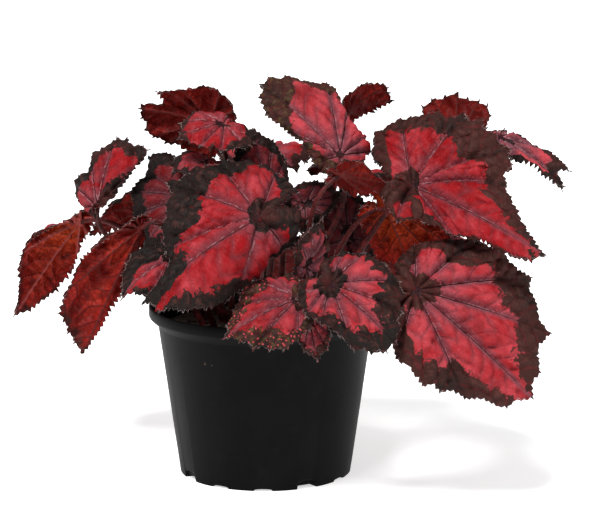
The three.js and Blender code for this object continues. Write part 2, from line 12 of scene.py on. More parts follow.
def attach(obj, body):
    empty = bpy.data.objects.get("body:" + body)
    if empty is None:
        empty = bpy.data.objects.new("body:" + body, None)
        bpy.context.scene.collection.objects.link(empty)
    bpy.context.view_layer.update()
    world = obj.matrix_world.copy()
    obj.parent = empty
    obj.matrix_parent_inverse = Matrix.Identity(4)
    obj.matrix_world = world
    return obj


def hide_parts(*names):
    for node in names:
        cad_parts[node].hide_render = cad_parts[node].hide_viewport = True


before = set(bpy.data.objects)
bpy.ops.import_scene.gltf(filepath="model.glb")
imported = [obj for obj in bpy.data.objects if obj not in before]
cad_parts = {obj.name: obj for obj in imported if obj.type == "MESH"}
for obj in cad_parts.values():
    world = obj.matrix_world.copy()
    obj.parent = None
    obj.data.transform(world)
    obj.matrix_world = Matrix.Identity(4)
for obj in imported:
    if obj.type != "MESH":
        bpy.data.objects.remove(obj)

bl_info = {
    "name": "Potted rex begonia",
    "version": (1, 0, 0),
    "blender": (4, 5, 0),
    "location": "View3D > Sidebar > Begonia",
    "description": "Models the leaves, pot and soil of a potted rex begonia, and the stage it stands on",
    "category": "Add Mesh",
}

MM = 0.001

# Blade and petiole as the solids have them, in millimetres, degrees and shares of the length.
SINUS = 0.12
NOTCH_SHARE = 0.09
FULL_NOTCH_SPAN = 18
SPOKE_STEPS = 24
LOPSIDED = 0.1
PETIOLE_TOP = 1.4
PETIOLE_FOOT = 2.4
PETIOLE_SEAT = 0.6
PETIOLE_END = 84
SOIL_TOP = 98
RISE = 0.45
MEET = 0.35
JOIN_ANGLE = 40
MOST_LEAN = 0.5
LEAN_REACH = 160

# Finer forms of a blade, its petiole and its hairs, in millimetres and shares.
SMALL_TOOTH = 3.6
SMALL_TOOTH_DEPTH = 1.7
TOOTH_LEAN = 0.34
TOOTH_CURVE = 0.45
VEIN_REACH = 0.9
NET_JITTER = 0.12
NET_CLEARANCE = 0.6
SIDE_VEIN_ANGLE = math.radians(48)
SIDE_VEIN_DRIFT = 34
VEIN_WIDTH = 1.5
PUCKER = 6
FLUTED_LENGTH = 90
CURL_START = 0.72
LONG_RUFFLE = 17
SHORT_RUFFLE = 9
HAIR_RADIUS = 0.1
HAIR_SPREAD = 0.35
PETIOLE_HAIRS = 80
PETIOLE_ROUNDNESS = 3
PETIOLE_STEPS = 18

# Seeds of the random draws.
LEAF_SEED = 100
HAIR_SEED = 1
SOIL_SEED = 7

# Slots of the materials on a leaf. The underside has slot 1.
UPPER_SLOT, PETIOLE_SLOT, HAIR_SLOT = 0, 2, 3


def pairs(*values):
    """(angle, reach) pairs from angles in degrees and reaches in hundredths."""
    return [(angle, reach / 100) for angle, reach in zip(values[::2], values[1::2])]


# Teeth of an ordinary half blade, by their angle from the midrib.
FINE_TEETH = pairs(13, 88, 27, 84, 41, 78, 56, 78, 72, 72, 90, 71, 109, 66, 129, 65, 149, 60, 167, 46)
COARSE_TEETH = pairs(20, 86, 44, 78, 72, 72, 104, 68, 136, 63, 164, 48)


def plain_teeth(half, width=1.0, tail=1.0):
    """Teeth of both halves of an ordinary blade, one half larger than the other."""
    teeth = [(0, 1.0)]
    for side in (-1, 1):
        for angle, reach in half:
            across = math.sin(math.radians(angle))
            size = (1 + side * LOPSIDED * across) * (1 + (width - 1) * across**2)
            teeth.append((side * angle, reach * size * (tail if angle > 90 else 1)))
    return teeth


@dataclass
class Leaf:
    """One leaf: its place and bends as in the solids, in millimetres and degrees, and its looks.

    A blade faces an azimuth and elevation. Droop bends its tip, left, right and back down, fold lifts its left
    and right half, wave is a height, count and start, and mesh is the spacing of its points. Teeth, red and
    star are (angle, reach) pairs of the margin and of the zones of colour, and a patch is a round spot of red
    as (angle, reach, size). Reaches are shares of the length, and angles are positive left of the midrib.
    """

    junction: tuple
    tip: tuple
    faces: tuple
    foot: tuple
    teeth: list
    droop: tuple = (30, 20, 20, 20)
    fold: tuple = (10, 10)
    wave: tuple = (8, 5, 0)
    mesh: float = 2.0
    veins: tuple = ()
    red: tuple = ()
    star: tuple = ()
    patches: tuple = ()
    pink: float = 0.4
    brown: float = 0.5
    gold: float = 0.0
    speckle: float = 0.0
    # How much light shines through the blade onto its underside: painted backlight.
    painted_backlight: float = 0.2
    # Darkens the whole blade of a leaf deep in the plant: painted shade.
    shade: float = 0.0


BACK = {"droop": (40, 20, 20, 20), "fold": (8, 8), "mesh": 2.2}
# Leaves deep in the plant: gentle bends, and darkened all over with painted shade.
SHADED = {"droop": (15, 15, 15, 15), "fold": (6, 6), "mesh": 2.2, "shade": 0.5}

LEAVES = {
    "leaf_front_left": Leaf(
        (-3, -76, 185), (-77, -112, 136), (-20, 34), (-1, -27),
        pairs(
            -170, 42, -146, 54, -134, 59, -122, 58, -108, 60, -94, 64, -80, 67, -68, 72, -50, 64, -36, 67,
            -28, 67, -20, 68, -10, 70, -4, 82, 0, 102, 8, 95, 15, 84, 22, 72, 29, 62, 41, 48, 64, 42,
            88, 40, 110, 38, 140, 34, 170, 34,
        ),
        red=pairs(
            -155, 30, -148, 36, -142, 50, -123, 49, -112, 40, -101, 43, -94, 46, -78, 40, -62, 44, -44, 37,
            -33, 40, -27, 53, -18, 62, -9, 58, 2, 60, 4, 80, 6, 102, 9, 82, 17, 66, 26, 46, 42, 42, 63, 38,
            90, 32, 124, 30, 139, 27, 160, 12, 180, 12,
        ),
        star=pairs(-150, 16, -120, 14, -60, 8, 0, 8, 60, 10, 110, 10, 140, 14, 160, 25, 180, 20),
        droop=(30, 50, 18, 20), fold=(-60, 4), wave=(5, 6, 40),
        veins=(-142, -100, -66, -20, 0, 36, 80, 128), mesh=1.1, pink=0.25, brown=0.15,
    ),
    "leaf_low_right": Leaf(
        (96, -88, 141), (172, -96, 71), (14, 22), (35, -32),
        pairs(
            -160, 25, -125, 28, -92, 30, -66, 45, -46, 60, -36, 65, -24, 74, -10, 93, 0, 100, 9, 93, 26, 90,
            38, 80, 50, 78, 66, 63, 82, 54, 102, 40, 128, 33, 158, 25,
        ),
        red=pairs(
            -130, 10, -90, 12, -70, 18, -62, 26, -51, 40, -37, 48, -30, 53, -21, 49, -14, 67, -8, 83,
            -4, 97, 0, 99, 5, 77, 12, 73, 19, 67, 27, 67, 33, 55, 41, 51, 49, 51, 55, 54, 60, 50, 67, 34,
            75, 29, 95, 30, 113, 27, 143, 12, 180, 10,
        ),
        star=pairs(-120, 20, -90, 16, -37, 13, 0, 10, 8, 18, 20, 12, 45, 17, 90, 10, 130, 10, 180, 15),
        droop=(22, 20, 24, 50), fold=(6, 6), wave=(6, 6, 0), mesh=1.1, pink=0.6, brown=0.75, speckle=0.32,
    ),
    "leaf_upper_right": Leaf(
        (95, -45, 200), (177, -100, 166), (-2, 34), (34, -16),
        pairs(
            -144, 20, -96, 24, -62, 38, -38, 34, -22, 48, -12, 62, -8, 82, -5, 95, 0, 103, 4, 88, 8, 80,
            14, 72, 21, 65, 31, 60, 44, 64, 54, 66, 66, 62, 79, 62, 94, 62, 116, 63, 136, 65, 153, 70,
            168, 45,
        ),
        red=pairs(
            -90, 10, -45, 20, -28, 33, -24, 42, -12, 59, -8, 73, -6, 87, -3, 96, 0, 97, 2, 82, 5, 70,
            11, 61, 17, 48, 40, 47, 43, 49, 54, 40, 59, 35, 77, 38, 110, 42, 126, 45, 145, 55, 150, 48,
            156, 24, 180, 10,
        ),
        star=pairs(-140, 12, -45, 20, -10, 5, 60, 5, 120, 12, 180, 12),
        patches=[(-58, 0.27, 0.06)],
        droop=(26, 10, 30, 18), fold=(2, 40), wave=(4, 6, 0), mesh=1.1, pink=0.2, brown=0.75,
    ),
    "leaf_top_upright": Leaf(
        (49, -20, 216), (2, 10, 259), (18, 35), (13, 3),
        pairs(
            -150, 22, -116, 33, -90, 37, -66, 40, -50, 48, -39, 72, -34, 83, -22, 92, -12, 102, -4, 109,
            3, 106, 13, 95, 20, 80, 25, 57, 34, 36, 75, 28, 140, 26,
        ),
        red=pairs(
            -141, 24, -115, 30, -86, 37, -69, 36, -54, 48, -40, 62, -25, 79, -14, 90, -10, 76, 0, 72, 9, 60,
            20, 53, 25, 42, 33, 28, 50, 24, 68, 14, 112, 13, 180, 12,
        ),
        star=pairs(0, 4, 180, 4),
        droop=(14, 18, 18, 10), fold=(6, 6), wave=(6, 6, 0), mesh=1.1, pink=0.7, brown=0.7, gold=0.8,
        speckle=0.35,
    ),
    "leaf_front_middle": Leaf(
        (42, -100, 147), (84, -118, 112), (10, 35), (24, -33),
        pairs(
            -154, 36, -116, 42, -84, 48, -60, 50, -40, 62, -30, 83, -18, 93, -8, 100, 0, 100, 10, 92,
            22, 86, 40, 84, 50, 80, 66, 68, 90, 60, 114, 50, 150, 32,
        ),
        red=pairs(
            -160, 18, -143, 24, -106, 31, -86, 39, -60, 39, -35, 44, -24, 62, -12, 65, -8, 76, 0, 79, 2, 74,
            6, 56, 14, 58, 27, 50, 32, 61, 41, 50, 51, 63, 58, 62, 63, 45, 72, 55, 81, 45, 84, 55, 103, 42,
            121, 39, 135, 20, 160, 12,
        ),
        star=pairs(-150, 15, -69, 18, -28, 20, -10, 16, 0, 12, 45, 16, 95, 20, 150, 20),
        droop=(30, 20, 24, 14), fold=(6, 6), wave=(5, 6, 0), mesh=1, pink=0.55, brown=0.45, speckle=0.5,
    ),
    "leaf_front_lower": Leaf(
        (21, -90, 135), (-26, -110, 114), (-15, 45), (3, -37),
        pairs(
            -165, 30, -138, 40, -110, 46, -84, 54, -62, 60, -42, 68, -26, 76, -12, 88, 0, 100, 12, 90,
            24, 86, 36, 78, 48, 72, 62, 56, 78, 46, 98, 38, 126, 32, 160, 24,
        ),
        red=pairs(
            -105, 27, -93, 46, -78, 47, -67, 39, -44, 38, -30, 56, -11, 64, -4, 75, 0, 100, 3, 84, 14, 67,
            22, 57, 45, 51, 52, 43, 59, 45, 75, 30, 90, 25, 180, 15,
        ),
        star=pairs(-105, 20, -90, 8, 0, 6, 40, 10, 60, 20, 90, 15, 180, 20),
        droop=(30, 30, 24, 20), fold=(6, 6), mesh=1, brown=0.6, gold=1, speckle=1,
    ),
    "leaf_front_small": Leaf(
        (29, -80, 121), (34, -88, 94), (0, 12), (13, -43),
        plain_teeth(COARSE_TEETH, 0.55, 0.35),
        droop=(20, 30, 30, 20), fold=(0, 0), mesh=0.9, speckle=0.9,
    ),
    "leaf_edge_on": Leaf(
        (27, -58, 150), (38, -52, 182), (55, 10), (11, -22),
        plain_teeth(COARSE_TEETH, 0.75, 0.7),
        # Its high pink is partly its own colour and partly painted light on a blade that faces away from the
        # lamps.
        droop=(15, 10, 10, 10), mesh=1.2, pink=1.1,
    ),
    "leaf_right_underside": Leaf(
        (79, -13, 180), (126, -23, 154), (172, 18), (25, -1),
        plain_teeth(COARSE_TEETH, 1, 0.6),
        mesh=1.3, pink=0.2, painted_backlight=1.1,
    ),
    "leaf_middle_underside": Leaf(
        (48, -38, 206), (83, -46, 200), (175, 40), (21, -17),
        plain_teeth(COARSE_TEETH, 0.7, 0.6),
        mesh=1.3, pink=0.3, painted_backlight=0.5,
    ),
    "leaf_top_behind": Leaf(
        (55, 46, 234), (86, 62, 239), (178, 28), (17, 20),
        pairs(
            -140, 30, -116, 30, -110, 47, -88, 48, -60, 62, -50, 69, -36, 88, -30, 94, -16, 97, -4, 103,
            4, 100, 14, 60, 28, 40, 80, 26, 140, 24,
        ),
        droop=(30, 28, -11, 5), fold=(4, 0), mesh=1.3, pink=0.05, painted_backlight=0.22,
    ),
    "leaf_upper_right_behind": Leaf(
        (128, 48, 219), (129, 66, 245), (180, 30), (28, 12),
        pairs(
            -146, 34, -104, 48, -72, 70, -58, 90, -46, 104, -32, 102, -16, 96, 0, 100, 15, 100, 30, 104,
            43, 103, 56, 92, 72, 72, 104, 48, 146, 34,
        ),
        mesh=1.3, pink=0.1, brown=0.9, painted_backlight=0.25,
    ),
    "leaf_far_right": Leaf(
        (152, -25, 229), (195, -45, 200), (32, 48), (38, 4),
        pairs(
            -150, 12, -100, 12, -60, 18, -22, 39, -10, 53, -8, 76, -3, 100, 2, 98, 6, 80, 11, 95, 15, 84,
            24, 60, 34, 38, 57, 16, 100, 10, 146, 10,
        ),
        # A high pink stands partly for the leaf's own pale pink and partly for the sheen of a blade seen
        # edge-on: painted sheen.
        droop=(6, 14, 54, 10), fold=(29, 4), mesh=1.2, pink=1.2, brown=0.6,
    ),
    "leaf_upper_left": Leaf(
        (-37, 25, 230), (-85, 30, 240), (172, 22), (-13, 9),
        pairs(
            -162, 36, -130, 50, -100, 56, -74, 60, -40, 76, -28, 84, -20, 93, -8, 96, 0, 100, 5, 98, 11, 68,
            17, 86, 30, 76, 46, 64, 73, 60, 99, 57, 132, 55, 165, 40,
        ),
        droop=(20, 10, 10, 20), fold=(5, 5), mesh=1.2, pink=0.3, painted_backlight=0.3,
    ),
    "leaf_upper_left_inner": Leaf(
        (-27, -8, 235), (-57, -25, 227), (-10, 45), (-5, -7),
        pairs(
            -165, 30, -140, 34, -110, 36, -80, 40, -50, 60, -28, 84, -13, 88, 0, 100, 13, 88, 27, 84,
            41, 78, 56, 78, 72, 76, 90, 78, 109, 73, 129, 70, 149, 64, 167, 48,
        ),
        red=pairs(
            -160, 20, -120, 30, -80, 36, -40, 60, -24, 68, -12, 80, 0, 90, 20, 82, 50, 70, 80, 60, 110, 50,
            150, 40,
        ),
        droop=(30, 20, 30, 20), mesh=1.1, pink=0.05,
    ),
    "leaf_left_inner": Leaf(
        (-38, -10, 210), (-61, -30, 206), (-20, 60), (-19, -8),
        plain_teeth(COARSE_TEETH),
        droop=(30, 20, 30, 20), mesh=1.1, pink=0.1, brown=0.2,
    ),
    "leaf_left_raised": Leaf(
        (-109, -21, 182), (-74, -13, 218), (-20, 30), (-36, 5),
        pairs(
            -140, 16, -48, 23, -12, 33, -4, 55, -1, 86, 2, 101, 8, 100, 22, 100, 33, 100, 45, 84, 54, 78,
            61, 57, 76, 56, 90, 53, 102, 42, 126, 26, 156, 16,
        ),
        red=pairs(
            -90, 10, -4, 10, 0, 80, 3, 87, 6, 78, 16, 82, 30, 85, 40, 71, 50, 62, 58, 46, 64, 38, 90, 40,
            106, 29, 124, 26, 160, 10,
        ),
        star=pairs(-180, 20, -2, 55, 6, 46, 16, 34, 22, 27, 32, 8, 124, 5),
        droop=(16, 14, 14, 10), fold=(6, 70), wave=(5, 6, 0), mesh=1.1, pink=0.2, brown=0.3,
    ),
    "leaf_left_sloping": Leaf(
        (-67, 18, 179), (-120, 28, 153), (-131, 15), (-27, 9),
        pairs(
            -150, 30, -100, 30, -50, 26, -20, 34, -8, 56, -3, 85, 0, 100, 8, 84, 24, 71, 46, 63, 66, 56,
            103, 46, 150, 30,
        ),
        droop=(8, 9, 9, 11), fold=(0, 6), mesh=1.2, pink=0.2, painted_backlight=0.55,
    ),
    "leaf_left_hanging": Leaf(
        (-78, -68, 177), (-117, -77, 95), (-172, 12), (-32, -18),
        pairs(
            -155, 10, -120, 10, -90, 10, -46, 20, -18, 32, -8, 55, 0, 100, 5, 95, 10, 91, 15, 86, 20, 84,
            25, 70, 32, 58, 40, 48, 48, 32, 60, 18, 80, 12, 120, 10, 155, 10,
        ),
        droop=(10, 0, 10, 0), fold=(0, 105), wave=(5, 5, 0), mesh=1.1, pink=0.1, painted_backlight=0.5,
    ),
    "leaf_left_low": Leaf(
        (-58, -79, 160), (-91, -103, 139), (-25, 40), (-20, -32),
        plain_teeth(FINE_TEETH, 0.8, 0.45),
        red=pairs(
            -60, 10, -30, 20, -15, 35, -10, 62, -3, 70, 0, 97, 6, 93, 16, 75, 40, 60, 60, 50, 90, 40,
            140, 20,
        ),
        droop=(30, 20, 30, 30), fold=(6, 6), mesh=1.1, pink=0.3, brown=0.15,
    ),
    "leaf_middle_left": Leaf(
        (1, -7, 190), (-9, 2, 233), (0, 25), (0, -3),
        plain_teeth(COARSE_TEETH, 0.56),
        # Darkened all over with painted shade.
        droop=(20, 20, 20, 20), mesh=1.4, shade=0.5,
    ),
    "leaf_middle_right": Leaf(
        (26, -2, 180), (52, 4, 187), (0, 25), (8, -3),
        plain_teeth(COARSE_TEETH, 0.75, 1),
        # Darkened all over with painted shade.
        droop=(20, 20, 20, 20), mesh=1.4, shade=0.5,
    ),
    "leaf_back_right": Leaf(
        (61, 68, 188), (113, 126, 150), (138, 50), (24, 27),
        plain_teeth(COARSE_TEETH, 0.95, 0.25),
        **BACK,
    ),
    "leaf_back_middle": Leaf(
        (0, 98, 166), (2, 178, 124), (182, 50), (0, 35),
        plain_teeth(COARSE_TEETH, 0.9, 0.6),
        **BACK,
    ),
    "leaf_back_left": Leaf(
        (-57, 97, 168), (-105, 161, 132), (224, 50), (-21, 35),
        plain_teeth(COARSE_TEETH, 0.8, 0.45),
        **BACK,
    ),
    "leaf_back_low_left": Leaf(
        (-84, 62, 128), (-126, 112, 96), (248, 50), (-30, 22),
        plain_teeth(COARSE_TEETH, 1, 0.65),
        **BACK,
    ),
    "leaf_right_low": Leaf(
        (112, 26, 132), (176, 38, 90), (108, 50), (40, 14),
        plain_teeth(COARSE_TEETH, 1, 0.8),
        **BACK,
    ),
    "leaf_back_top": Leaf(
        (2, 59, 203), (4, 127, 192), (178, 62), (1, 21),
        plain_teeth(COARSE_TEETH, 0.8, 0.8),
        **BACK,
    ),
    "leaf_back_low_middle": Leaf(
        (-2, 114, 126), (0, 172, 80), (184, 50), (-8, 38),
        plain_teeth(COARSE_TEETH, 1, 0.6),
        **BACK,
    ),
    "leaf_back_low_right": Leaf(
        (60, 94, 136), (94, 148, 96), (156, 50), (22, 34),
        plain_teeth(COARSE_TEETH, 1, 0.8),
        **BACK,
    ),
    "leaf_far_left": Leaf(
        (-123, 20, 165), (-169, 18, 98), (-155, 36), (-40, -7),
        pairs(
            -140, 12, -60, 14, -38, 24, -30, 34, -24, 52, -18, 66, -10, 74, -5, 87, 0, 100, 3, 91, 8, 81,
            18, 69, 36, 60, 46, 46, 56, 24, 75, 10, 137, 10,
        ),
        droop=(15, -13, 19, -15), fold=(0, -17), wave=(5, 6, 0), mesh=1.1, pink=0.9, painted_backlight=0.8,
    ),
    "leaf_left_shaded": Leaf(
        (-51, -18, 188), (-81, -34, 155), (-30, 15), (-27, -3),
        pairs(
            -165, 36, -138, 62, -118, 90, -102, 100, -88, 82, -62, 86, -34, 80, -14, 90, 0, 100, 16, 88,
            44, 78, 72, 70, 104, 66, 136, 60, 164, 46,
        ),
        brown=0.1, **SHADED,
    ),
    "leaf_middle_shaded": Leaf(
        (55, 8, 156), (52, 14, 192), (0, 10), (21, 9),
        plain_teeth(COARSE_TEETH, 1.1, 1),
        **SHADED,
    ),
    "leaf_right_middle": Leaf(
        (111, 15, 157), (166, 17, 117), (88, 50), (47, 4),
        plain_teeth(COARSE_TEETH, 0.82, 0.5),
        fold=(8, 8), mesh=2.2,
    ),
}


def sizes():
    return bpy.context.scene.begonia_sizes


def colours():
    return bpy.context.scene.begonia_colours


def size_property(name, description, millimetres):
    size = millimetres * MM
    return bpy.props.FloatProperty(name=name, description=description, default=size, unit="LENGTH")


def colour_property(name, description, value):
    return bpy.props.FloatVectorProperty(name=name, description=description, default=value, subtype="COLOR")


class BegoniaSizes(bpy.types.PropertyGroup):
    """Sizes that a user would change."""

    blade_thickness: size_property("Blade thickness", "Thickness of every blade", 0.6)
    vein_depth: size_property("Vein depth", "How deep the main veins lie in a blade", 0.9)
    pillow_height: size_property("Pillow height", "How high a blade stands between two side veins", 2.0)
    ruffle_height: size_property("Ruffle height", "How far the margin waves up and down", 2.8)
    flute_height: size_property("Flute height", "How high a blade arches between two main veins", 5.2)
    curl_depth: size_property("Curl depth", "How far the margin curls down", 1.2)
    vein_spacing: size_property("Side vein spacing", "Distance between side veins", 11)
    hair_length: size_property("Hair length", "Length of the hairs on petioles and margins", 1.5)


class BegoniaColours(bpy.types.PropertyGroup):
    """Colours that a user would change."""

    crimson: colour_property("Crimson", "Red zone of a blade", (0.225, 0.004, 0.006))
    rose: colour_property("Rose", "Paler parts of the red zone", (0.36, 0.04, 0.05))
    pewter: colour_property("Pewter", "Silvery bands along the veins", (0.15, 0.047, 0.06))
    dark_green: colour_property("Dark green", "Margin and star of a blade", (0.0085, 0.007, 0.0062))
    dark_brown: colour_property("Dark brown", "Brown parts of the margin", (0.035, 0.0108, 0.0088))
    maroon: colour_property("Maroon", "Underside of a blade", (0.175, 0.0085, 0.006))
    petiole: colour_property("Petiole", "Petioles", (0.065, 0.007, 0.007))


def unit(vector):
    return vector / np.linalg.norm(vector)


def unit_rows(vectors):
    return vectors / np.linalg.norm(vectors, axis=1)[:, None]


def facing(azimuth, elevation):
    """The direction of an azimuth (0 is the front, 90 the right) and elevation."""
    a, e = math.radians(azimuth), math.radians(elevation)
    return np.array([math.cos(e) * math.sin(a), -math.cos(e) * math.cos(a), math.sin(e)])


def margin(leaf):
    """The margin as (angle, reach) from the midrib, with a notch between each two teeth."""
    teeth = sorted(leaf.teeth)
    points = [(-180, SINUS)]
    for (angle, reach), after in zip(teeth, teeth[1:] + [None]):
        points.append((angle, reach))
        if after:
            depth = NOTCH_SHARE * min(1, (after[0] - angle) / FULL_NOTCH_SPAN)
            points.append(((angle + after[0]) / 2, (reach + after[1]) / 2 * (1 - depth)))
    return points


def envelope(leaf, angle):
    """Reach of the curve through the tips of the teeth."""
    teeth = [(-180, SINUS)] + sorted(leaf.teeth) + [(180, SINUS)]
    return np.interp(angle, [t[0] for t in teeth], [t[1] for t in teeth])


def slope(leaf, angle, share, waved=True):
    """How steeply the blade rises from its own plane, in radians."""
    a = np.radians(angle)
    across = np.sin(a) ** 2
    tip, left, right, back = leaf.droop
    along = np.where(np.cos(a) > 0, tip, back)
    side = np.where(angle > 0, left, right)
    fold = np.where(angle > 0, leaf.fold[0], leaf.fold[1]) * across
    droop = (along * (1 - across) + side * across) * share
    height, count, start = leaf.wave
    wave = height * np.sin(np.radians(count * angle + start)) * share**1.5 if waved else 0
    return np.radians(fold - droop + wave)


def spoke(leaf, angle, share, waved=True):
    """Distance out and up along a spoke of the blade, for each angle and share of the reach."""
    angle, share = np.atleast_1d(angle).astype(float), np.atleast_1d(share).astype(float)
    out, up = np.zeros_like(angle), np.zeros_like(angle)
    for i in range(SPOKE_STEPS):
        step = np.clip(share * SPOKE_STEPS - i, 0, 1) / SPOKE_STEPS
        rise = slope(leaf, angle, (i + 0.5) / SPOKE_STEPS, waved)
        out += np.cos(rise) * step
        up += np.sin(rise) * step
    return out, up


def blade_frame(leaf):
    """The blade's own axes at the petiole (along the midrib, to its left, up) and its length."""
    junction = np.array(leaf.junction, float)
    chord = np.array(leaf.tip, float) - junction
    out, up = (float(v[0]) for v in spoke(leaf, 0, 1, waved=False))
    length = np.linalg.norm(chord) / math.hypot(out, up)
    chord = unit(chord)
    face = facing(*leaf.faces)
    flat = unit(face - face.dot(chord) * chord)
    rise = math.atan2(up, out)
    along = math.cos(rise) * chord - math.sin(rise) * flat
    normal = math.sin(rise) * chord + math.cos(rise) * flat
    return junction, along, np.cross(normal, along), normal, length


def main_veins(leaf):
    """Angles of the main veins, each of which runs to a tooth."""
    if leaf.veins:
        return np.array(leaf.veins, float)
    angles = np.array(sorted(t[0] for t in leaf.teeth), float)
    wanted = (0, 28, 56, 90, 128, -28, -56, -90, -128)
    return np.unique([angles[np.argmin(np.abs(angles - w))] for w in wanted])


def in_plane(angle, rho):
    """A place in the blade's plane, where the midrib is at 0 degrees."""
    a = np.radians(angle)
    return np.stack([rho * np.cos(a), rho * np.sin(a)], -1)


def serrated_margin(leaf, length, chance):
    """The margin in the blade's plane, with small sharp teeth along each side of the large ones."""
    corners = [in_plane(angle, reach * length) for angle, reach in margin(leaf)]
    points = []
    for (angle, _), corner, after in zip(margin(leaf), corners, corners[1:] + corners[:1]):
        edge = after - corner
        run = np.linalg.norm(edge)
        inward = np.array([-edge[1], edge[0]]) / run
        small = max(1, round(run / SMALL_TOOTH))
        for i in range(small):
            depth = SMALL_TOOTH_DEPTH * chance.uniform(0.4, 1.2) * min(1, run / small / SMALL_TOOTH)
            if angle < 0:
                steps = (i, 0), (i + TOOTH_LEAN, 1), (i + 0.5 + TOOTH_LEAN / 2, TOOTH_CURVE)
            else:
                lean = 1 - TOOTH_LEAN
                steps = (i, 0), (i + lean / 2, TOOTH_CURVE), (i + lean, 1)
            points += [corner + edge * step / small + inward * depth * sink for step, sink in steps]
    return np.array(points)


def blade_net(leaf, length, chance):
    """Points and triangles that fill the margin evenly, with edges along the main veins."""
    edge = serrated_margin(leaf, length, chance)
    step = leaf.mesh
    hub = len(edge)
    points = [Vector(p) for p in edge] + [Vector((0, 0))]
    lines = [(i, (i + 1) % hub) for i in range(hub)]
    taken = list(edge)
    for vein in main_veins(leaf):
        previous = hub
        for rho in np.arange(step, envelope(leaf, vein) * length * VEIN_REACH, step):
            taken.append(in_plane(vein, rho))
            points.append(Vector(taken[-1]))
            lines.append((previous, len(points) - 1))
            previous = len(points) - 1
    low, high = edge.min(0), edge.max(0)
    rows = np.arange(low[1], high[1], step * math.sqrt(3) / 2)
    grid = []
    for k, y in enumerate(rows):
        xs = np.arange(low[0] + (k % 2) * step / 2, high[0], step)
        grid.append(np.stack([xs, np.full_like(xs, y)], -1))
    grid = np.concatenate(grid) + chance.uniform(-NET_JITTER, NET_JITTER, (sum(map(len, grid)), 2)) * step
    angle = np.degrees(np.arctan2(grid[:, 1], grid[:, 0]))
    rho = np.hypot(grid[:, 0], grid[:, 1])
    grid = grid[rho < envelope(leaf, angle) * length]
    clear = np.sqrt(((grid[:, None] - np.array(taken)[None]) ** 2).sum(-1)).min(1) > NET_CLEARANCE * step
    points += [Vector(p) for p in grid[clear]]
    flat, _, faces, *_ = delaunay_2d_cdt(points, lines, [], 1, 1e-5)
    flat = np.array([tuple(p) for p in flat])
    faces = np.array([f for f in faces if len(f) == 3])
    used, faces = np.unique(faces, return_inverse=True)
    return flat[used], faces.reshape(-1, 3)


def waves(x, y, size, chance, terms=5):
    """A soft random height field from -1 to 1, with features of about the given size."""
    total = np.zeros_like(x)
    for _ in range(terms):
        turn, start = chance.uniform(0, 2 * math.pi, 2)
        scale = 2 * math.pi / (size * chance.uniform(0.7, 1.4))
        total += np.sin((x * math.cos(turn) + y * math.sin(turn)) * scale + start)
    return total / terms


def vein_coordinates(leaf, length, flat):
    """Each point's angle, share of the reach, distance off a main vein, side vein phase and flute.

    The phase is whole on a side vein. The flute is 0 on a main vein and 1 halfway between two of them.
    """
    angle = np.degrees(np.arctan2(flat[:, 1], flat[:, 0]))
    rho = np.hypot(flat[:, 0], flat[:, 1])
    veins = main_veins(leaf)
    off = np.abs(angle[:, None] - veins[None]).min(1)
    right = np.radians(np.minimum(off, 90))
    across, along = rho * np.sin(right), rho * np.cos(right)
    drift = waves(flat[:, 0], flat[:, 1], SIDE_VEIN_DRIFT, np.random.default_rng(round(length * 100)), 6)
    spacing = sizes().vein_spacing / MM
    phase = (along - across / math.tan(SIDE_VEIN_ANGLE)) / spacing + 0.5 * drift * np.clip(across / 8, 0, 1)
    bounds = np.concatenate([[-200], veins, [200]])
    place = np.clip(np.searchsorted(bounds, angle), 1, len(bounds) - 1)
    half = (bounds[place] - bounds[place - 1]) / 2
    flute = np.sin(np.clip(off / half, 0, 1) * math.pi / 2) ** 0.9
    return angle, rho / (length * envelope(leaf, angle)), across, phase, flute


def relief(leaf, length, flat, chance):
    """Height of the veins, pillows and puckers over the smooth blade, in metres, and the painted light of its
    folds.
    """
    s = sizes()
    _, share, across, phase, flute = vein_coordinates(leaf, length, flat)
    groove = -s.vein_depth * np.exp(-((across / VEIN_WIDTH) ** 2)) * np.clip((1 - share) * 4, 0, 1)
    pillow = np.abs(np.sin(math.pi * phase)) ** 0.8 - 0.6
    pillow *= np.clip(across / 3, 0, 1) * np.clip((1.05 - share) * 4, 0.3, 1)
    pucker = 0.5 * waves(flat[:, 0], flat[:, 1], PUCKER, chance, 8)
    swell = flute * np.sin(math.pi * np.clip(share, 0, 1) ** 1.1)
    curl = s.curl_depth * (np.clip(share - CURL_START, 0, 1) / (1 - CURL_START)) ** 2
    # How high a point stands on its folds, for painted highlight on the crests and painted shade in the
    # hollows.
    painted_fold_lighting = 0.4 * flute + 0.35 * (pillow + 0.6) + 0.6 * pucker
    arch = s.flute_height * length / FLUTED_LENGTH * swell
    height = groove + s.pillow_height * (pillow + pucker) + arch - curl
    return height, painted_fold_lighting


def ruffle(leaf, length, flat, chance):
    """Height of the margin's waves, in millimetres."""
    angle = np.arctan2(flat[:, 1], flat[:, 0])
    rho = np.hypot(flat[:, 0], flat[:, 1])
    share = rho / (length * envelope(leaf, np.degrees(angle)))
    start = chance.uniform(0, 2 * math.pi, 2)
    run = angle * 0.6 * length
    wave = 0.6 * np.sin(run * 2 * math.pi / LONG_RUFFLE + start[0])
    wave += 0.4 * np.sin(run * 2 * math.pi / SHORT_RUFFLE + start[1])
    quiet = np.clip((math.pi - np.abs(angle)) * 4, 0, 1)
    return sizes().ruffle_height / MM * np.clip(share, 0, 1) ** 4 * wave * quiet


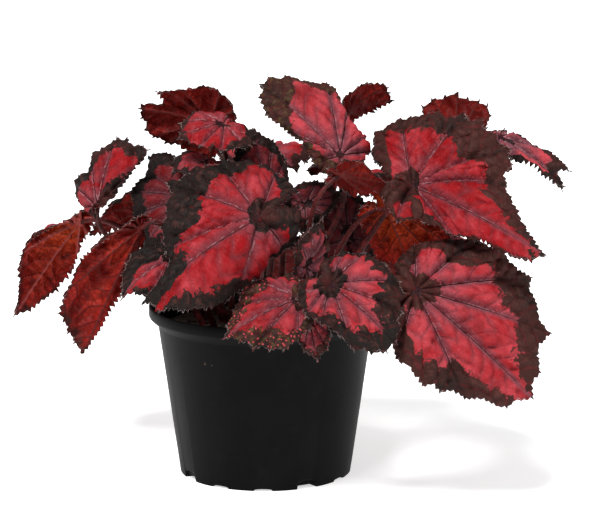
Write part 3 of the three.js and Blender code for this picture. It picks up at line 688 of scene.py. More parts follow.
def blade_places(leaf, flat, lift):
    """Places of the blade's points in millimetres, from its plane and a height over the bent blade."""
    junction, along, left, normal, length = blade_frame(leaf)
    angle = np.arctan2(flat[:, 1], flat[:, 0])
    rho = np.hypot(flat[:, 0], flat[:, 1])
    size = length * envelope(leaf, np.degrees(angle))
    out, up = spoke(leaf, np.degrees(angle), rho / size)
    out, up = out * size, up * size + lift
    return (
        junction
        + (np.cos(angle) * out)[:, None] * along
        + (np.sin(angle) * out)[:, None] * left
        + up[:, None] * normal
    )


def set_attribute(mesh, name, columns):
    """Keep three numbers at each point of a mesh, for the materials."""
    attribute = mesh.attributes.new(name, "FLOAT_VECTOR", "POINT")
    attribute.data.foreach_set("vector", np.stack(columns, -1).astype(np.float32).ravel())


def read_places(mesh, what="co"):
    """The places of a mesh's points, or their normals, as rows."""
    places = np.zeros(len(mesh.vertices) * 3)
    mesh.vertices.foreach_get(what, places)
    return places.reshape(-1, 3)


def write_places(mesh, places):
    mesh.vertices.foreach_set("co", places.ravel())
    mesh.update()


def select(*pieces):
    """Select these pieces alone, and make the first one active."""
    bpy.ops.object.select_all(action="DESELECT")
    for piece in pieces:
        piece.select_set(True)
    if pieces:
        bpy.context.view_layer.objects.active = pieces[0]


def new_object(name, points, faces):
    """An object with a mesh of its own, which is the only one selected."""
    mesh = bpy.data.meshes.new(name)
    mesh.from_pydata([tuple(p) for p in points], [], [tuple(int(i) for i in f) for f in faces])
    made = bpy.data.objects.new(name, mesh)
    bpy.context.collection.objects.link(made)
    select(made)
    return made


def dress(mesh, slot):
    """Give a mesh the leaf's materials, and all its faces the one in a slot."""
    mesh.materials.clear()
    for material in MATERIALS["leaf"]:
        mesh.materials.append(material)
    mesh.polygons.foreach_set("material_index", [slot] * len(mesh.polygons))


def zone_reach(leaf, angle, given, share, lobe):
    """Reach of a zone of colour: as given, or a share of the blade with a lobe along each main vein."""
    if given:
        given = sorted(given)
        return np.interp(angle, [g[0] for g in given], [g[1] for g in given], period=360)
    near = np.abs(angle[:, None] - main_veins(leaf)[None]).min(1)
    return envelope(leaf, angle) * (share + lobe * np.cos(np.radians(np.clip(near * 6, 0, 180))))


def blade(name, leaf, chance):
    """The blade: a thin sheet with its veins and pillows, and what its materials read."""
    *_, length = blade_frame(leaf)
    flat, faces = blade_net(leaf, length, chance)
    lift = ruffle(leaf, length, flat, chance)
    made = new_object(name, blade_places(leaf, flat, lift) * MM, faces)
    mesh = made.data
    height, painted_fold_lighting = relief(leaf, length, flat, chance)
    write_places(mesh, read_places(mesh) + read_places(mesh, "normal") * height[:, None])
    angle, share, across, phase, _ = vein_coordinates(leaf, length, flat)
    reach = share * envelope(leaf, angle)
    ones = np.ones_like(share)
    seed = chance.uniform(0, 500)
    red = zone_reach(leaf, angle, leaf.red, 0.68, 0.09)
    star = zone_reach(leaf, angle, leaf.star, 0.16, 0.05)
    set_attribute(mesh, "plane", (flat[:, 0], flat[:, 1], seed * ones))
    set_attribute(mesh, "veins", (across, phase, share))
    zone, hub = reach / red, reach / star
    for patch_angle, patch_reach, patch_size in leaf.patches:
        off = np.linalg.norm(flat / length - in_plane(patch_angle, patch_reach), axis=1) / patch_size
        zone, hub = np.minimum(zone, off), np.where(off < 1.6, 2, hub)
    set_attribute(mesh, "zones", (zone, hub, leaf.pink * ones))
    # Gold and brown are the leaf's own colours; the third number sets painted highlight and shade on the
    # folds.
    set_attribute(mesh, "tint_and_fold_lighting", (leaf.gold * ones, leaf.brown * ones, painted_fold_lighting))
    # Speckle is the leaf's own; the other two numbers set painted backlight and painted shade.
    set_attribute(mesh, "speckle_and_painted_light", (leaf.speckle * ones, leaf.painted_backlight * ones, leaf.shade * ones))
    thicken = made.modifiers.new("Thickness", "SOLIDIFY")
    thicken.thickness = sizes().blade_thickness
    thicken.offset = 0
    thicken.material_offset = 1
    dress(mesh, UPPER_SLOT)
    bpy.ops.object.modifier_apply(modifier="Thickness")
    return made


def petiole_curve(leaf):
    """Corners of the petiole's cubic curve from the soil to the blade, and its buried end, in millimetres."""
    junction, along, _, normal, _ = blade_frame(leaf)
    foot = np.array([*leaf.foot, SOIL_TOP], float)
    top = junction - PETIOLE_SEAT * normal
    away = math.hypot(junction[0], junction[1])
    lean = min(MOST_LEAN, away / LEAN_REACH) / away
    start = unit(np.array([lean * junction[0], lean * junction[1], 1]))
    join = math.radians(JOIN_ANGLE)
    inward = math.cos(join) * along + math.sin(join) * normal
    reach = np.linalg.norm(top - foot)
    rise = foot + start * reach * RISE
    meet = top - inward * reach * MEET
    end = foot + start * (PETIOLE_END - SOIL_TOP) / start[2]
    return end, foot, rise, meet, top


def petiole(name, leaf):
    """The petiole: a round stem along its curve, thinner towards the blade."""
    end, foot, rise, meet, top = petiole_curve(leaf)
    select()
    bpy.ops.curve.primitive_bezier_curve_add(location=(0, 0, 0))
    made = bpy.context.object
    made.name = name
    curve = made.data
    curve.dimensions = "3D"
    curve.bevel_depth = PETIOLE_FOOT * MM
    curve.bevel_resolution = PETIOLE_ROUNDNESS
    curve.use_fill_caps = True
    curve.resolution_u = PETIOLE_STEPS
    points = curve.splines[0].bezier_points
    points.add(1)
    slim = PETIOLE_TOP / PETIOLE_FOOT
    third = (foot - end) / 3
    stations = (
        (end, end - (rise - foot) / 3, end + third, 1),
        (foot, foot - third, rise, 1),
        (top, meet, top, slim),
    )
    for point, (place, before, after, radius) in zip(points, stations):
        point.handle_left_type = point.handle_right_type = "FREE"
        point.co = Vector(place) * MM
        point.handle_left = Vector(before) * MM
        point.handle_right = Vector(after) * MM
        point.radius = radius
    bpy.ops.object.convert(target="MESH")
    made = bpy.context.object
    dress(made.data, PETIOLE_SLOT)
    return made


def hairs(name, roots, directions, chance):
    """Tapering hairs with three sides each, from their roots along their directions."""
    many = len(roots)
    length, radius = sizes().hair_length, HAIR_RADIUS * MM
    directions = unit_rows(directions + chance.uniform(-HAIR_SPREAD, HAIR_SPREAD, (many, 3)))
    helper = np.where(np.abs(directions[:, 2:3]) < 0.9, [[0, 0, 1]], [[1, 0, 0]])
    side = unit_rows(np.cross(directions, helper))
    other = np.cross(directions, side)
    points = np.zeros((many, 4, 3))
    for k in range(3):
        a = 2 * math.pi * k / 3
        points[:, k] = roots + radius * (math.cos(a) * side + math.sin(a) * other) - directions * radius
    points[:, 3] = roots + directions * (length * chance.uniform(0.5, 1.1, many))[:, None]
    corner = np.array([(0, 1, 3), (1, 2, 3), (2, 0, 3), (2, 1, 0)])
    faces = (corner[None] + 4 * np.arange(many)[:, None, None]).reshape(-1, 3)
    made = new_object(name, points.reshape(-1, 3), faces)
    dress(made.data, HAIR_SLOT)
    return made


def margin_hairs(leaf):
    """Roots and directions of the hairs that stand out all along the smooth blade's margin."""
    *_, length = blade_frame(leaf)
    edge = serrated_margin(leaf, length, np.random.default_rng(HAIR_SEED))
    keep = np.concatenate([np.linspace(a, b, 3)[:2] for a, b in zip(edge, np.roll(edge, -1, axis=0))])
    keep = keep[:: max(1, round(leaf.mesh))]
    rho = np.hypot(keep[:, 0], keep[:, 1])[:, None]
    roots = blade_places(leaf, keep * (1 - 0.5 / rho), 0)
    return roots, blade_places(leaf, keep * (1 + 1.0 / rho), 0) - roots


def petiole_hairs(leaf, chance):
    """Roots and directions of the hairs that stand out all round a petiole."""
    _, foot, rise, meet, top = petiole_curve(leaf)
    t = np.sort(chance.uniform(0.02, 0.97, PETIOLE_HAIRS))[:, None]
    centre = (1 - t) ** 3 * foot + 3 * (1 - t) ** 2 * t * rise + 3 * (1 - t) * t**2 * meet + t**3 * top
    forward = unit_rows((1 - t) ** 2 * (rise - foot) + 2 * (1 - t) * t * (meet - rise) + t**2 * (top - meet))
    out = unit_rows(np.cross(forward, chance.normal(size=(PETIOLE_HAIRS, 3))))
    radius = PETIOLE_FOOT + (PETIOLE_TOP - PETIOLE_FOOT) * t
    return centre + out * radius * 0.95, out


def join_smooth(*pieces):
    """Join pieces into the first one, and shade it smooth."""
    select(*pieces)
    bpy.ops.object.join()
    bpy.ops.object.shade_smooth()
    return bpy.context.object


class Value:
    """A number in a material: an expression on it adds Math nodes."""

    def __init__(self, paint, socket):
        self.paint = paint
        self.socket = socket

    def math(self, operation, *others, first=None):
        inputs = dict(enumerate([self if first is None else first, *others]))
        node = self.paint.add("ShaderNodeMath", {"operation": operation}, inputs)
        return Value(self.paint, node.outputs[0])

    def __add__(self, other):
        return self.math("ADD", other)

    __radd__ = __add__

    def __sub__(self, other):
        return self.math("SUBTRACT", other)

    def __rsub__(self, other):
        return self.math("SUBTRACT", self, first=other)

    def __mul__(self, other):
        return self.math("MULTIPLY", other)

    __rmul__ = __mul__

    def __abs__(self):
        return self.math("ABSOLUTE")

    def fraction(self):
        return self.math("FRACT")

    def smooth(self, low, high):
        """0 at low and 1 at high, with a soft step between; low may be the larger."""
        node = self.paint.add(
            "ShaderNodeMapRange",
            {"interpolation_type": "SMOOTHSTEP"},
            {"Value": self, "From Min": low, "From Max": high, "To Min": 0.0, "To Max": 1.0},
        )
        return Value(self.paint, node.outputs["Result"])


class Paint:
    """A material in the making, whose one method add() makes every node."""

    def __init__(self, name):
        self.material = bpy.data.materials.new(name)
        self.material.use_nodes = True
        self.tree = self.material.node_tree
        self.shader = self.tree.nodes["Principled BSDF"]

    def add(self, kind, settings=None, inputs=None):
        """A node of a kind, its settings first, then the values or links of its sockets."""
        node = self.tree.nodes.new(kind)
        for key, value in (settings or {}).items():
            setattr(node, key, value)
        for key, value in (inputs or {}).items():
            self.set(node.inputs[key], value)
        return node

    def set(self, socket, value):
        value = value.socket if isinstance(value, Value) else value
        if isinstance(value, bpy.types.NodeSocket):
            self.tree.links.new(value, socket)
        elif socket.type == "RGBA":
            socket.default_value = (*value, 1)
        else:
            socket.default_value = value

    def place(self):
        """The place on the object, in metres."""
        return self.add("ShaderNodeTexCoord").outputs["Object"]

    def attribute(self, name):
        """The three numbers of a vector attribute, and the vector."""
        node = self.add("ShaderNodeAttribute", {"attribute_name": name})
        parts = self.add("ShaderNodeSeparateXYZ", None, {0: node.outputs["Vector"]})
        return [Value(self, part) for part in parts.outputs], node.outputs["Vector"]

    def noise(self, vector, scale, detail=2.0, roughness=0.5):
        """A soft random field from 0 to 1. A small scale makes it broad."""
        inputs = {"Vector": vector, "Scale": scale, "Detail": detail, "Roughness": roughness}
        return Value(self, self.add("ShaderNodeTexNoise", None, inputs).outputs["Fac"])

    def cells(self, vector, scale, feature="DISTANCE_TO_EDGE"):
        """Distance to the nearest edge between random cells, or to their nearest centre for F1."""
        node = self.add("ShaderNodeTexVoronoi", {"feature": feature}, {"Vector": vector, "Scale": scale})
        return Value(self, node.outputs["Distance"])

    def mix(self, first, second, factor):
        node = self.add("ShaderNodeMix", {"data_type": "RGBA"}, {0: factor, 6: first, 7: second})
        return node.outputs[2]

    def coats(self, colour, *coats):
        """A colour with coats over it, each a colour and how much of it shows."""
        for coat, share in coats:
            colour = self.mix(colour, coat, share)
        return colour

    def bump(self, height, distance, strength):
        """A normal for small forms, with their height in millimetres."""
        inputs = {"Height": height, "Distance": distance * MM, "Strength": strength}
        return self.add("ShaderNodeBump", None, inputs).outputs["Normal"]

    def finish(self, **sockets):
        """Set the shader's sockets, whose names have _ for a space, and give the material."""
        for name, value in sockets.items():
            self.set(self.shader.inputs[name.replace("_", " ")], value)
        return self.material


def tone(colour, gain):
    """A colour made lighter or darker."""
    return tuple(min(1.0, c * gain) for c in colour)


def side_vein(phase):
    """Distance to the nearest side vein, in millimetres."""
    spacing = sizes().vein_spacing / MM
    return abs((phase + 100.5).fraction() - 0.5) * (spacing * math.sin(SIDE_VEIN_ANGLE))


# Colours of one finish each.
OLIVE = (0.075, 0.055, 0.018)
RED_VEINS = (0.075, 0.011, 0.011)
STAR_TINGE = (0.06, 0.012, 0.01)
VEIN_RIM = (0.36, 0.2, 0.21)
VEIN_LINE = (0.02, 0.006, 0.008)
# Dark colours laid over leaves deep in the plant: painted shade.
UPPER_SHADE = (0.006, 0.003, 0.003)
UNDER_SHADE = (0.01, 0.008, 0.008)
# Orange of light shining through a blade: painted backlight.
PAINTED_BACKLIGHT = (0.42, 0.045, 0.009)
DARK_RIB = (0.035, 0.004, 0.003)
PINK_RIB = (0.28, 0.06, 0.055)
PINK_HAIR = (0.3, 0.15, 0.15)
PALE_HAIR = (0.5, 0.42, 0.4)
BLACK_PLASTIC = (0.0016, 0.0015, 0.0015)
GREY_PLASTIC = (0.0028, 0.0027, 0.0027)
SCUFFED_PLASTIC = (0.006, 0.0056, 0.0054)
WET_PEAT = (0.018, 0.011, 0.007)
DRY_PEAT = (0.075, 0.045, 0.027)
BARK = (0.16, 0.11, 0.07)
FLOOR_GREY = (0.88, 0.88, 0.88)
FLOOR_WHITE = (0.9, 0.9, 0.9)
FLOOR_GLOW = 0.6
LEAF_SHINE = 0.07


def upper_side():
    """Upper side of a blade: dark star and margin, red zone between them, silvery bands along the veins, and
    painted highlight and shade on its folds.
    """
    c = colours()
    p = Paint("leaf upper side")
    _, plane = p.attribute("plane")
    (across, phase, share), _ = p.attribute("veins")
    (zone, star, pink), _ = p.attribute("zones")
    (speckle, _, shade), _ = p.attribute("speckle_and_painted_light")
    (gold, brown, painted_fold_lighting), _ = p.attribute("tint_and_fold_lighting")
    side = side_vein(phase)
    broad = p.noise(plane, 0.06, 3)
    blotch = p.noise(plane, 0.07, 3)
    shift = p.noise(plane, 0.03) - 0.5
    jagged = p.noise(plane, 0.22) - 0.5
    ragged = p.noise(plane, 0.7) - 0.5
    streak = p.noise(plane, 0.3, 3, 0.6)
    grain = p.noise(plane, 2.2)
    net = p.cells(plane, 0.42)

    edge = zone + jagged * 0.2 + ragged * 0.2 + side * 0.02
    red = edge.smooth(1.03, 0.99) * (star + jagged * 0.9 + ragged * 0.5).smooth(0.95, 1.05)
    band = across.smooth(1.4 + (1 - share) * 8.5, 0.6) * p.noise(plane, 0.13).smooth(0.22, 0.5)
    side_band = side.smooth(2.8, 0.1) * (0.7 - share * 0.4) * p.noise(plane, 0.1).smooth(0.3, 0.6)
    silver = band.math("MAXIMUM", side_band) * (pink * 0.5 + 0.5)
    # Rosier on the crests of the folds: painted highlight, over the leaf's own pink and random tone.
    rose = (pink - 0.3 + (broad - 0.5) * 1.8 + painted_fold_lighting * 0.55).smooth(0.05, 1.05)
    red_zone = p.coats(
        c.crimson,
        (c.rose, rose),
        # Darker crimson in the hollows of the folds: painted shade.
        (tone(c.crimson, 0.3), painted_fold_lighting.smooth(0.45, -0.1) * 0.9),
        (tone(c.crimson, 0.45), blotch.smooth(0.5, 0.66) * 0.5),
        (tone(c.rose, 1.25), blotch.smooth(0.46, 0.3) * 0.4),
        (c.pewter, silver),
        (tone(c.crimson, 0.4), net.smooth(0.16, 0.02) * 0.18),
    )

    spots = p.noise(plane, 0.09, 1) + speckle * 0.55
    size = spots.smooth(0.8, 1.1) * 0.3 * speckle.smooth(0.0, 0.3)
    spot = (p.cells(plane, 0.5, "F1") - size).smooth(0.03, -0.03)
    dark_zone = p.coats(
        c.dark_green,
        (c.dark_brown, (brown + shift * 2.2).smooth(0.1, 0.95)),
        (OLIVE, streak.smooth(0.5, 0.66) * gold * 0.7),
        (tone(c.dark_brown, 3.0), grain.smooth(0.5, 0.8) * 0.3),
        (RED_VEINS, side.smooth(1.4, 0.2) * brown * streak.smooth(0.3, 0.6)),
        # Darker in the hollows of the folds: painted shade.
        (tone(c.dark_green, 0.35), painted_fold_lighting.smooth(0.45, 0.0) * 0.7),
        # Lighter on the crests of the folds: painted highlight.
        (tone(c.dark_brown, 2.2), (painted_fold_lighting + ragged * 0.8).smooth(0.62, 0.9) * 0.5),
        (STAR_TINGE, star.smooth(0.8, 0.1) * 0.6),
        (tone(c.rose, 1.1), spot * star.smooth(1.0, 1.6)),
    )

    line = across.smooth(0.55 - share * 0.3, 0.15) * share.smooth(0.95, 0.6)
    thin = side.smooth(0.34, 0.1) * across.smooth(14.0, 3.0) * share.smooth(0.9, 0.5) * 0.4
    rim = across.smooth(0.5, 0.7) * across.smooth(1.2, 0.75) * share.smooth(0.85, 0.5) * red
    colour = p.coats(
        dark_zone,
        (red_zone, red),
        (VEIN_RIM, rim * streak.smooth(0.42, 0.6) * 0.6),
        (VEIN_LINE, line.math("MAXIMUM", thin) * 0.9),
        # Painted shade over leaves deep in the plant.
        (UPPER_SHADE, shade),
    )
    swell = net.smooth(0.0, 0.35) * 0.8 + grain * 0.6 - line * 0.5 - thin * 0.4
    return p.finish(
        Base_Color=colour,
        Roughness=0.56 - silver * 0.12 - red * 0.08,
        Normal=p.bump(swell, 0.35, 0.9),
        Specular_IOR_Level=LEAF_SHINE,
    )


def underside():
    """Underside of a blade: maroon, with raised pink main veins and a dark net, painted backlight shining
    through it, and painted shade on leaves deep in the plant.
    """
    c = colours()
    p = Paint("leaf underside")
    _, plane = p.attribute("plane")
    (across, phase, share), _ = p.attribute("veins")
    (_, _, pink), _ = p.attribute("zones")
    (_, painted_backlight, shade), _ = p.attribute("speckle_and_painted_light")
    broad = p.noise(plane, 0.05, 3) - 0.5
    ragged = p.noise(plane, 0.25, 3) - 0.5
    grain = p.noise(plane, 2.0)
    net = p.cells(plane, 0.32)
    colour = p.coats(
        tone(c.maroon, 0.55),
        # A lighter copy of the maroon where light shines through: painted backlight.
        (tone(c.maroon, 1.5), (painted_backlight + broad * 1.6).smooth(0.0, 1.1)),
        # Orange towards the hub where light shines through: painted backlight.
        (PAINTED_BACKLIGHT, (painted_backlight - 0.35 + broad * 1.2).smooth(0.1, 0.8) * share.smooth(0.95, 0.25)),
        (tone(c.maroon, 0.35), net.smooth(0.16, 0.02) * 0.45),
        (tone(c.maroon, 0.25), side_vein(phase).smooth(0.7, 0.2) * 0.7),
        (tone(c.maroon, 0.3), p.noise(plane, 0.14, 3).smooth(0.5, 0.7) * 0.7),
        (p.mix(DARK_RIB, PINK_RIB, pink), across.smooth(0.8 + pink * 0.5, 0.3) * 0.75),
        (tone(c.dark_brown, 0.5), (share + ragged * 0.25).smooth(0.86, 0.96) * 0.85),
        # Painted shade over leaves deep in the plant.
        (UNDER_SHADE, shade),
    )
    swell = net.smooth(0.0, 0.3) * 0.7 + across.smooth(1.0, 0.2) * 0.8 + grain * 0.3
    normal = p.bump(swell, 0.4, 0.9)
    return p.finish(Base_Color=colour, Roughness=0.5, Normal=normal, Specular_IOR_Level=LEAF_SHINE)


def petiole_skin():
    """Petioles: red, mottled with darker streaks."""
    c = colours()
    p = Paint("petiole")
    place = p.place()
    mottle = p.noise(place, 260, 3).smooth(0.35, 0.65)
    colour = p.mix(tone(c.petiole, 0.4), tone(c.petiole, 1.3), mottle)
    normal = p.bump(p.noise(place, 900), 0.3, 0.6)
    return p.finish(Base_Color=colour, Roughness=0.5, Normal=normal, Specular_IOR_Level=0.15)


def hair_skin():
    """Hairs: pale pink, a little uneven."""
    p = Paint("hair")
    colour = p.mix(PINK_HAIR, PALE_HAIR, p.noise(p.place(), 150, 1).smooth(0.35, 0.65))
    return p.finish(Base_Color=colour, Roughness=0.6)


def pot_plastic():
    """Pot: black moulded plastic with a satin skin and faint scuffs."""
    p = Paint("pot plastic")
    place = p.place()
    cloud = p.noise(place, 30, 3)
    scuff = p.noise(place, 110, 3, 0.6)
    return p.finish(
        Base_Color=p.coats(
            BLACK_PLASTIC,
            (GREY_PLASTIC, cloud.smooth(0.35, 0.65)),
            (SCUFFED_PLASTIC, scuff.smooth(0.55, 0.75) * 0.5),
        ),
        Roughness=0.52 + (cloud - 0.5) * 0.12 + scuff.smooth(0.6, 0.8) * 0.12,
        Normal=p.bump(p.noise(place, 1300), 0.05, 0.5),
        Specular_IOR_Level=0.05,
    )


def potting_mix():
    """Soil: moist peat with lighter bark and fibre."""
    p = Paint("potting mix")
    place = p.place()
    clump = p.noise(place, 90, 4, 0.6)
    chip = p.cells(place, 240, "F1")
    colour = p.coats(
        WET_PEAT,
        (DRY_PEAT, clump.smooth(0.4, 0.7)),
        (BARK, chip.smooth(0.16, 0.08) * clump.smooth(0.45, 0.6)),
    )
    return p.finish(Base_Color=colour, Roughness=0.95, Normal=p.bump(p.noise(place, 700, 4), 1.2, 0.8))


def pale_floor():
    """Floor: plain and almost white."""
    p = Paint("pale floor")
    return p.finish(
        Base_Color=p.mix(FLOOR_GREY, FLOOR_WHITE, p.noise(p.place(), 3)),
        Roughness=0.8,
        Specular_IOR_Level=0.2,
        Emission_Color=(1, 1, 1),
        Emission_Strength=FLOOR_GLOW,
    )


MATERIALS = {}


def make_materials():
    MATERIALS["leaf"] = [upper_side(), underside(), petiole_skin(), hair_skin()]
    MATERIALS["pot"] = [pot_plastic()]
    MATERIALS["soil"] = [potting_mix()]
    MATERIALS["floor"] = [pale_floor()]


class BEGONIA_OT_leaves(bpy.types.Operator):
    """Model every leaf: its blade, petiole and hairs in one piece"""

    bl_idname = "begonia.leaves"
    bl_label = "Leaves"

    def execute(self, context):
        for number, (node, leaf) in enumerate(LEAVES.items()):
            chance = np.random.default_rng(LEAF_SEED + number)
            name = node.replace("leaf_", "blade_")
            made = blade(name, leaf, chance)
            stalk = petiole(name + "_stalk", leaf)
            roots, out = margin_hairs(leaf)
            more_roots, more_out = petiole_hairs(leaf, chance)
            roots = np.concatenate([roots, more_roots]) * MM
            fringe = hairs(name + "_hairs", roots, unit_rows(np.concatenate([out, more_out])), chance)
            made = join_smooth(made, stalk, fringe)
            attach(made, "root")
            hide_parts(node)
        return {"FINISHED"}


# Pot, as the solid has it, in millimetres and degrees.
POT_HEIGHT = 113
BASE_RADIUS = 57
WALL_TOP_RADIUS = 71.4
LIP_RADIUS = 77.3
LIP_FOOT = 101
LIP_FULL = 106
WALL = 1.6
FLOOR = 2.4
HUB = 4
FOOT_ROUND = 0.4
NOTCHES = 12
FIRST_NOTCH = 29
DEEP_EVERY = 3
DEEP_NOTCH = (14, 5.5)
SHALLOW_NOTCH = (12, 1.4)
NOTCH_DEPTH = 8
POT_COLUMNS = 480
SHARP_EDGE = math.radians(35)


def notch_height(azimuth):
    """Height of the foot's arched notches over the floor, at an azimuth in degrees."""
    height = np.zeros_like(azimuth)
    for i in range(NOTCHES):
        wide, tall = DEEP_NOTCH if i % DEEP_EVERY == 0 else SHALLOW_NOTCH
        off = (azimuth - FIRST_NOTCH - 360 / NOTCHES * i + 180) % 360 - 180
        across = np.clip(np.radians(off) * BASE_RADIUS / (wide / 2), -1, 1)
        height += tall * (1 - across**2) ** 0.25
    return height


class BEGONIA_OT_pot(bpy.types.Operator):
    """Model the pot: a thin tapered wall with a flared lip and notches round its foot"""

    bl_idname = "begonia.pot"
    bl_label = "Pot"

    def execute(self, context):
        ring, bore = BASE_RADIUS - NOTCH_DEPTH, LIP_RADIUS - WALL
        profile = [
            (HUB, FOOT_ROUND), (ring - 4, FOOT_ROUND), (ring - 0.5, 0), (ring, 0),
            (BASE_RADIUS - FOOT_ROUND, 0), (BASE_RADIUS, FOOT_ROUND), (BASE_RADIUS + 0.9, 7),
            (WALL_TOP_RADIUS - 0.3, LIP_FOOT - 1.5), (WALL_TOP_RADIUS + 0.3, LIP_FOOT),
            (LIP_RADIUS - 0.6, LIP_FULL - 0.6), (LIP_RADIUS, LIP_FULL + 0.6), (LIP_RADIUS, POT_HEIGHT - 0.7),
            (LIP_RADIUS - 0.3, POT_HEIGHT - 0.2), (LIP_RADIUS - 0.8, POT_HEIGHT),
            (bore + 0.2, POT_HEIGHT - 0.2), (bore, POT_HEIGHT - 0.7), (bore, LIP_FULL),
            (WALL_TOP_RADIUS - WALL, LIP_FOOT), (BASE_RADIUS - WALL, FLOOR), (HUB, FLOOR),
        ]
        select()
        bpy.ops.mesh.primitive_circle_add(vertices=POT_COLUMNS, radius=profile[0][0] * MM, fill_type="NGON")
        made = bpy.context.object
        made.name = "nursery_pot"
        bpy.ops.object.mode_set(mode="EDIT")
        bpy.ops.mesh.select_all(action="SELECT")
        bpy.ops.mesh.flip_normals()
        bpy.ops.transform.translate(value=(0, 0, profile[0][1] * MM))
        for (r0, z0), (r1, z1) in zip(profile, profile[1:]):
            bpy.ops.mesh.extrude_region_move(TRANSFORM_OT_translate={"value": (0, 0, (z1 - z0) * MM)})
            bpy.ops.transform.resize(value=(r1 / r0, r1 / r0, 1), center_override=(0, 0, z1 * MM))
        bpy.ops.mesh.select_all(action="SELECT")
        bpy.ops.mesh.normals_make_consistent(inside=False)
        bpy.ops.object.mode_set(mode="OBJECT")
        carve_notches(made.data)
        made.data.materials.append(MATERIALS["pot"][0])
        select(made)
        bpy.ops.object.shade_smooth_by_angle(angle=SHARP_EDGE)
        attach(made, "root")
        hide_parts("pot")
        return {"FINISHED"}


def carve_notches(mesh):
    """Lift the foot's underside and its edges where the notches are."""
    places = read_places(mesh)
    radius = np.hypot(places[:, 0], places[:, 1]) / MM
    azimuth = np.degrees(np.arctan2(places[:, 1], places[:, 0]))
    low = places[:, 2] / MM < 1
    foot = low & (radius > BASE_RADIUS - NOTCH_DEPTH - 0.2) & (radius < BASE_RADIUS + 0.2)
    places[foot, 2] += notch_height(azimuth[foot]) * MM
    write_places(mesh, places)


# Soil, in millimetres, with its lumps as (height, size, terms) of waves.
SOIL_CROWN = 5
SOIL_EDGE = SOIL_TOP - 1
SOIL_DEPTH = 12
SOIL_GAP = 0.3
SOIL_GRID = 150
LUMPS = ((0.9, 14, 6), (0.7, 5, 8), (0.4, 2.4, 8))
CRUMBS = 420
CRUMB_SQUASH = 0.7


class BEGONIA_OT_soil(bpy.types.Operator):
    """Model the potting mix: a crowned, lumpy surface with loose crumbs"""

    bl_idname = "begonia.soil"
    bl_label = "Soil"

    def execute(self, context):
        chance = np.random.default_rng(SOIL_SEED)
        growth = (WALL_TOP_RADIUS - BASE_RADIUS) / (LIP_FOOT - FLOOR)
        edge = BASE_RADIUS - WALL - SOIL_GAP + growth * (SOIL_TOP - FLOOR)
        select()
        bpy.ops.mesh.primitive_grid_add(x_subdivisions=SOIL_GRID, y_subdivisions=SOIL_GRID, size=2)
        made = bpy.context.object
        made.name = "potting_mix"
        x, y, _ = read_places(made.data).T
        u = x * np.sqrt(np.clip(1 - y**2 / 2, 0, 1)) * edge
        v = y * np.sqrt(np.clip(1 - x**2 / 2, 0, 1)) * edge
        r = np.hypot(u, v) / edge
        lumps = sum(height * waves(u, v, size, chance, terms) for height, size, terms in LUMPS)
        z = SOIL_EDGE + SOIL_CROWN * (1 - r**2) + lumps * np.clip((1 - r) * 12, 0, 1)
        write_places(made.data, np.stack([u, v, z], -1) * MM)
        thicken = made.modifiers.new("Depth", "SOLIDIFY")
        thicken.thickness = SOIL_DEPTH * MM
        thicken.offset = -1
        bpy.ops.object.modifier_apply(modifier="Depth")
        crumbs = []
        for _ in range(CRUMBS):
            a, d = chance.uniform(0, 2 * math.pi), edge * math.sqrt(chance.uniform(0, 0.93))
            size = chance.uniform(0.7, 2.4)
            top = SOIL_EDGE + SOIL_CROWN * (1 - (d / edge) ** 2)
            crumbs.append(((d * math.cos(a), d * math.sin(a), top + size * 0.3), size))
        made = join_smooth(made, crumb_heap(crumbs, chance))
        made.data.materials.clear()
        made.data.materials.append(MATERIALS["soil"][0])
        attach(made, "root")
        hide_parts("soil")
        return {"FINISHED"}


def crumb_heap(crumbs, chance):
    """Rough lumps of bark and peat, each a squashed and dented icosahedron."""
    select()
    bpy.ops.mesh.primitive_ico_sphere_add(subdivisions=1, radius=1)
    pattern = bpy.context.object
    base = np.array([tuple(v.co) for v in pattern.data.vertices])
    faces = np.array([tuple(f.vertices) for f in pattern.data.polygons])
    bpy.data.objects.remove(pattern)
    points, all_faces = [], []
    for number, (place, size) in enumerate(crumbs):
        shape = base * chance.uniform(0.5, 1.2, 3) * chance.uniform(0.75, 1.2, (len(base), 1)) * size
        turn = chance.uniform(0, math.pi)
        c, s = math.cos(turn), math.sin(turn)
        points.append(shape @ np.array([(c, s, 0), (-s, c, 0), (0, 0, CRUMB_SQUASH)]) + place)
        all_faces.append(faces + number * len(base))
    return new_object("crumbs", np.concatenate(points) * MM, np.concatenate(all_faces))


# Camera, in millimetres and degrees, and in pixels of the 600 by 527 picture.
CAMERA_PLACE = (23, -1950, 537)
CAMERA_TILT = 78.5
FOCAL_PIXELS = 3006
PICTURE_WIDTH = 600
SENSOR = 36

# Stage, in metres. A light is its kind, name, place and settings, and shines at the plant.
FLOOR_SIZE = 16
FLOOR_PLACE = (0, 3, 0)
LIT_PLACE = (0, 0, 0.15)
SKY = 0.34
LIGHTS = (
    ("AREA", "strip", (1.5, -0.5, 0.35), {"size": 0.8, "energy": 7}),
    ("AREA", "side", (-1.5, -0.3, 0.5), {"size": 0.7, "energy": 1}),
    ("SUN", "key", (-0.45, -0.9, 1.9), {"angle": math.radians(20), "energy": 4.4}),
)


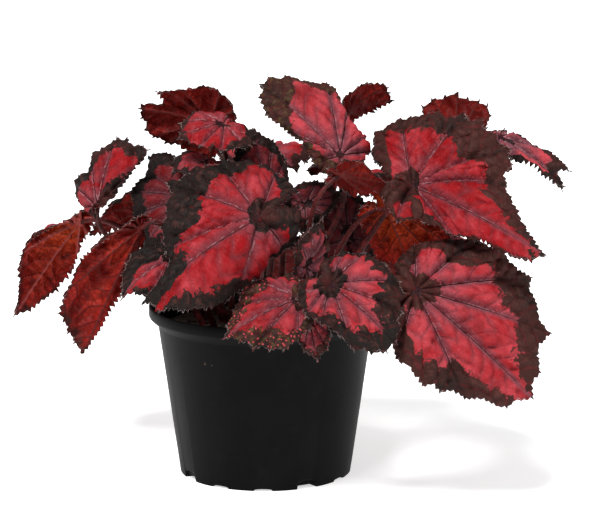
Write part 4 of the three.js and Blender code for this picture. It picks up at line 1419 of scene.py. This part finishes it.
class BEGONIA_OT_stage(bpy.types.Operator):
    """Lay the pale floor, and set up the studio lights and the camera"""

    bl_idname = "begonia.stage"
    bl_label = "Stage"

    def execute(self, context):
        select()
        bpy.ops.mesh.primitive_plane_add(size=FLOOR_SIZE, location=FLOOR_PLACE)
        floor = bpy.context.object
        floor.name = "floor"
        bpy.ops.object.transform_apply(location=True)
        floor.data.materials.append(MATERIALS["floor"][0])
        place = [c * MM for c in CAMERA_PLACE]
        bpy.ops.object.camera_add(location=place, rotation=(math.radians(CAMERA_TILT), 0, 0))
        camera = bpy.context.object
        camera.data.sensor_fit = "HORIZONTAL"
        camera.data.sensor_width = SENSOR
        camera.data.lens = SENSOR * FOCAL_PIXELS / PICTURE_WIDTH
        context.scene.camera = camera
        for kind, name, place, settings in LIGHTS:
            turn = (Vector(LIT_PLACE) - Vector(place)).to_track_quat("-Z", "Y").to_euler()
            bpy.ops.object.light_add(type=kind, location=place, rotation=turn)
            lamp = bpy.context.object
            lamp.name = name
            for key, value in settings.items():
                setattr(lamp.data, key, value)
        world = bpy.data.worlds.new("studio")
        context.scene.world = world
        world.use_nodes = True
        background = world.node_tree.nodes["Background"]
        background.inputs["Color"].default_value = (1, 1, 1, 1)
        background.inputs["Strength"].default_value = SKY
        context.scene.view_settings.view_transform = "Standard"
        return {"FINISHED"}


class BEGONIA_PT_panel(bpy.types.Panel):
    """The pieces of the begonia, in the order they are made"""

    bl_label = "Potted rex begonia"
    bl_idname = "BEGONIA_PT_panel"
    bl_space_type = "VIEW_3D"
    bl_region_type = "UI"
    bl_category = "Begonia"

    def draw(self, context):
        for operator in OPERATORS:
            self.layout.operator(operator.bl_idname)
        for group in (context.scene.begonia_sizes, context.scene.begonia_colours):
            for name in group.__annotations__:
                self.layout.prop(group, name)


OPERATORS = (BEGONIA_OT_stage, BEGONIA_OT_pot, BEGONIA_OT_soil, BEGONIA_OT_leaves)
CLASSES = (BegoniaSizes, BegoniaColours, *OPERATORS, BEGONIA_PT_panel)


def register():
    for cls in CLASSES:
        bpy.utils.register_class(cls)
    bpy.types.Scene.begonia_sizes = bpy.props.PointerProperty(type=BegoniaSizes)
    bpy.types.Scene.begonia_colours = bpy.props.PointerProperty(type=BegoniaColours)


def unregister():
    del bpy.types.Scene.begonia_colours
    del bpy.types.Scene.begonia_sizes
    for cls in reversed(CLASSES):
        bpy.utils.unregister_class(cls)


def main():
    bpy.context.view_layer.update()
    register()
    make_materials()
    bpy.ops.begonia.stage()
    bpy.ops.begonia.pot()
    bpy.ops.begonia.soil()
    bpy.ops.begonia.leaves()


if __name__ == "__main__":
    main()
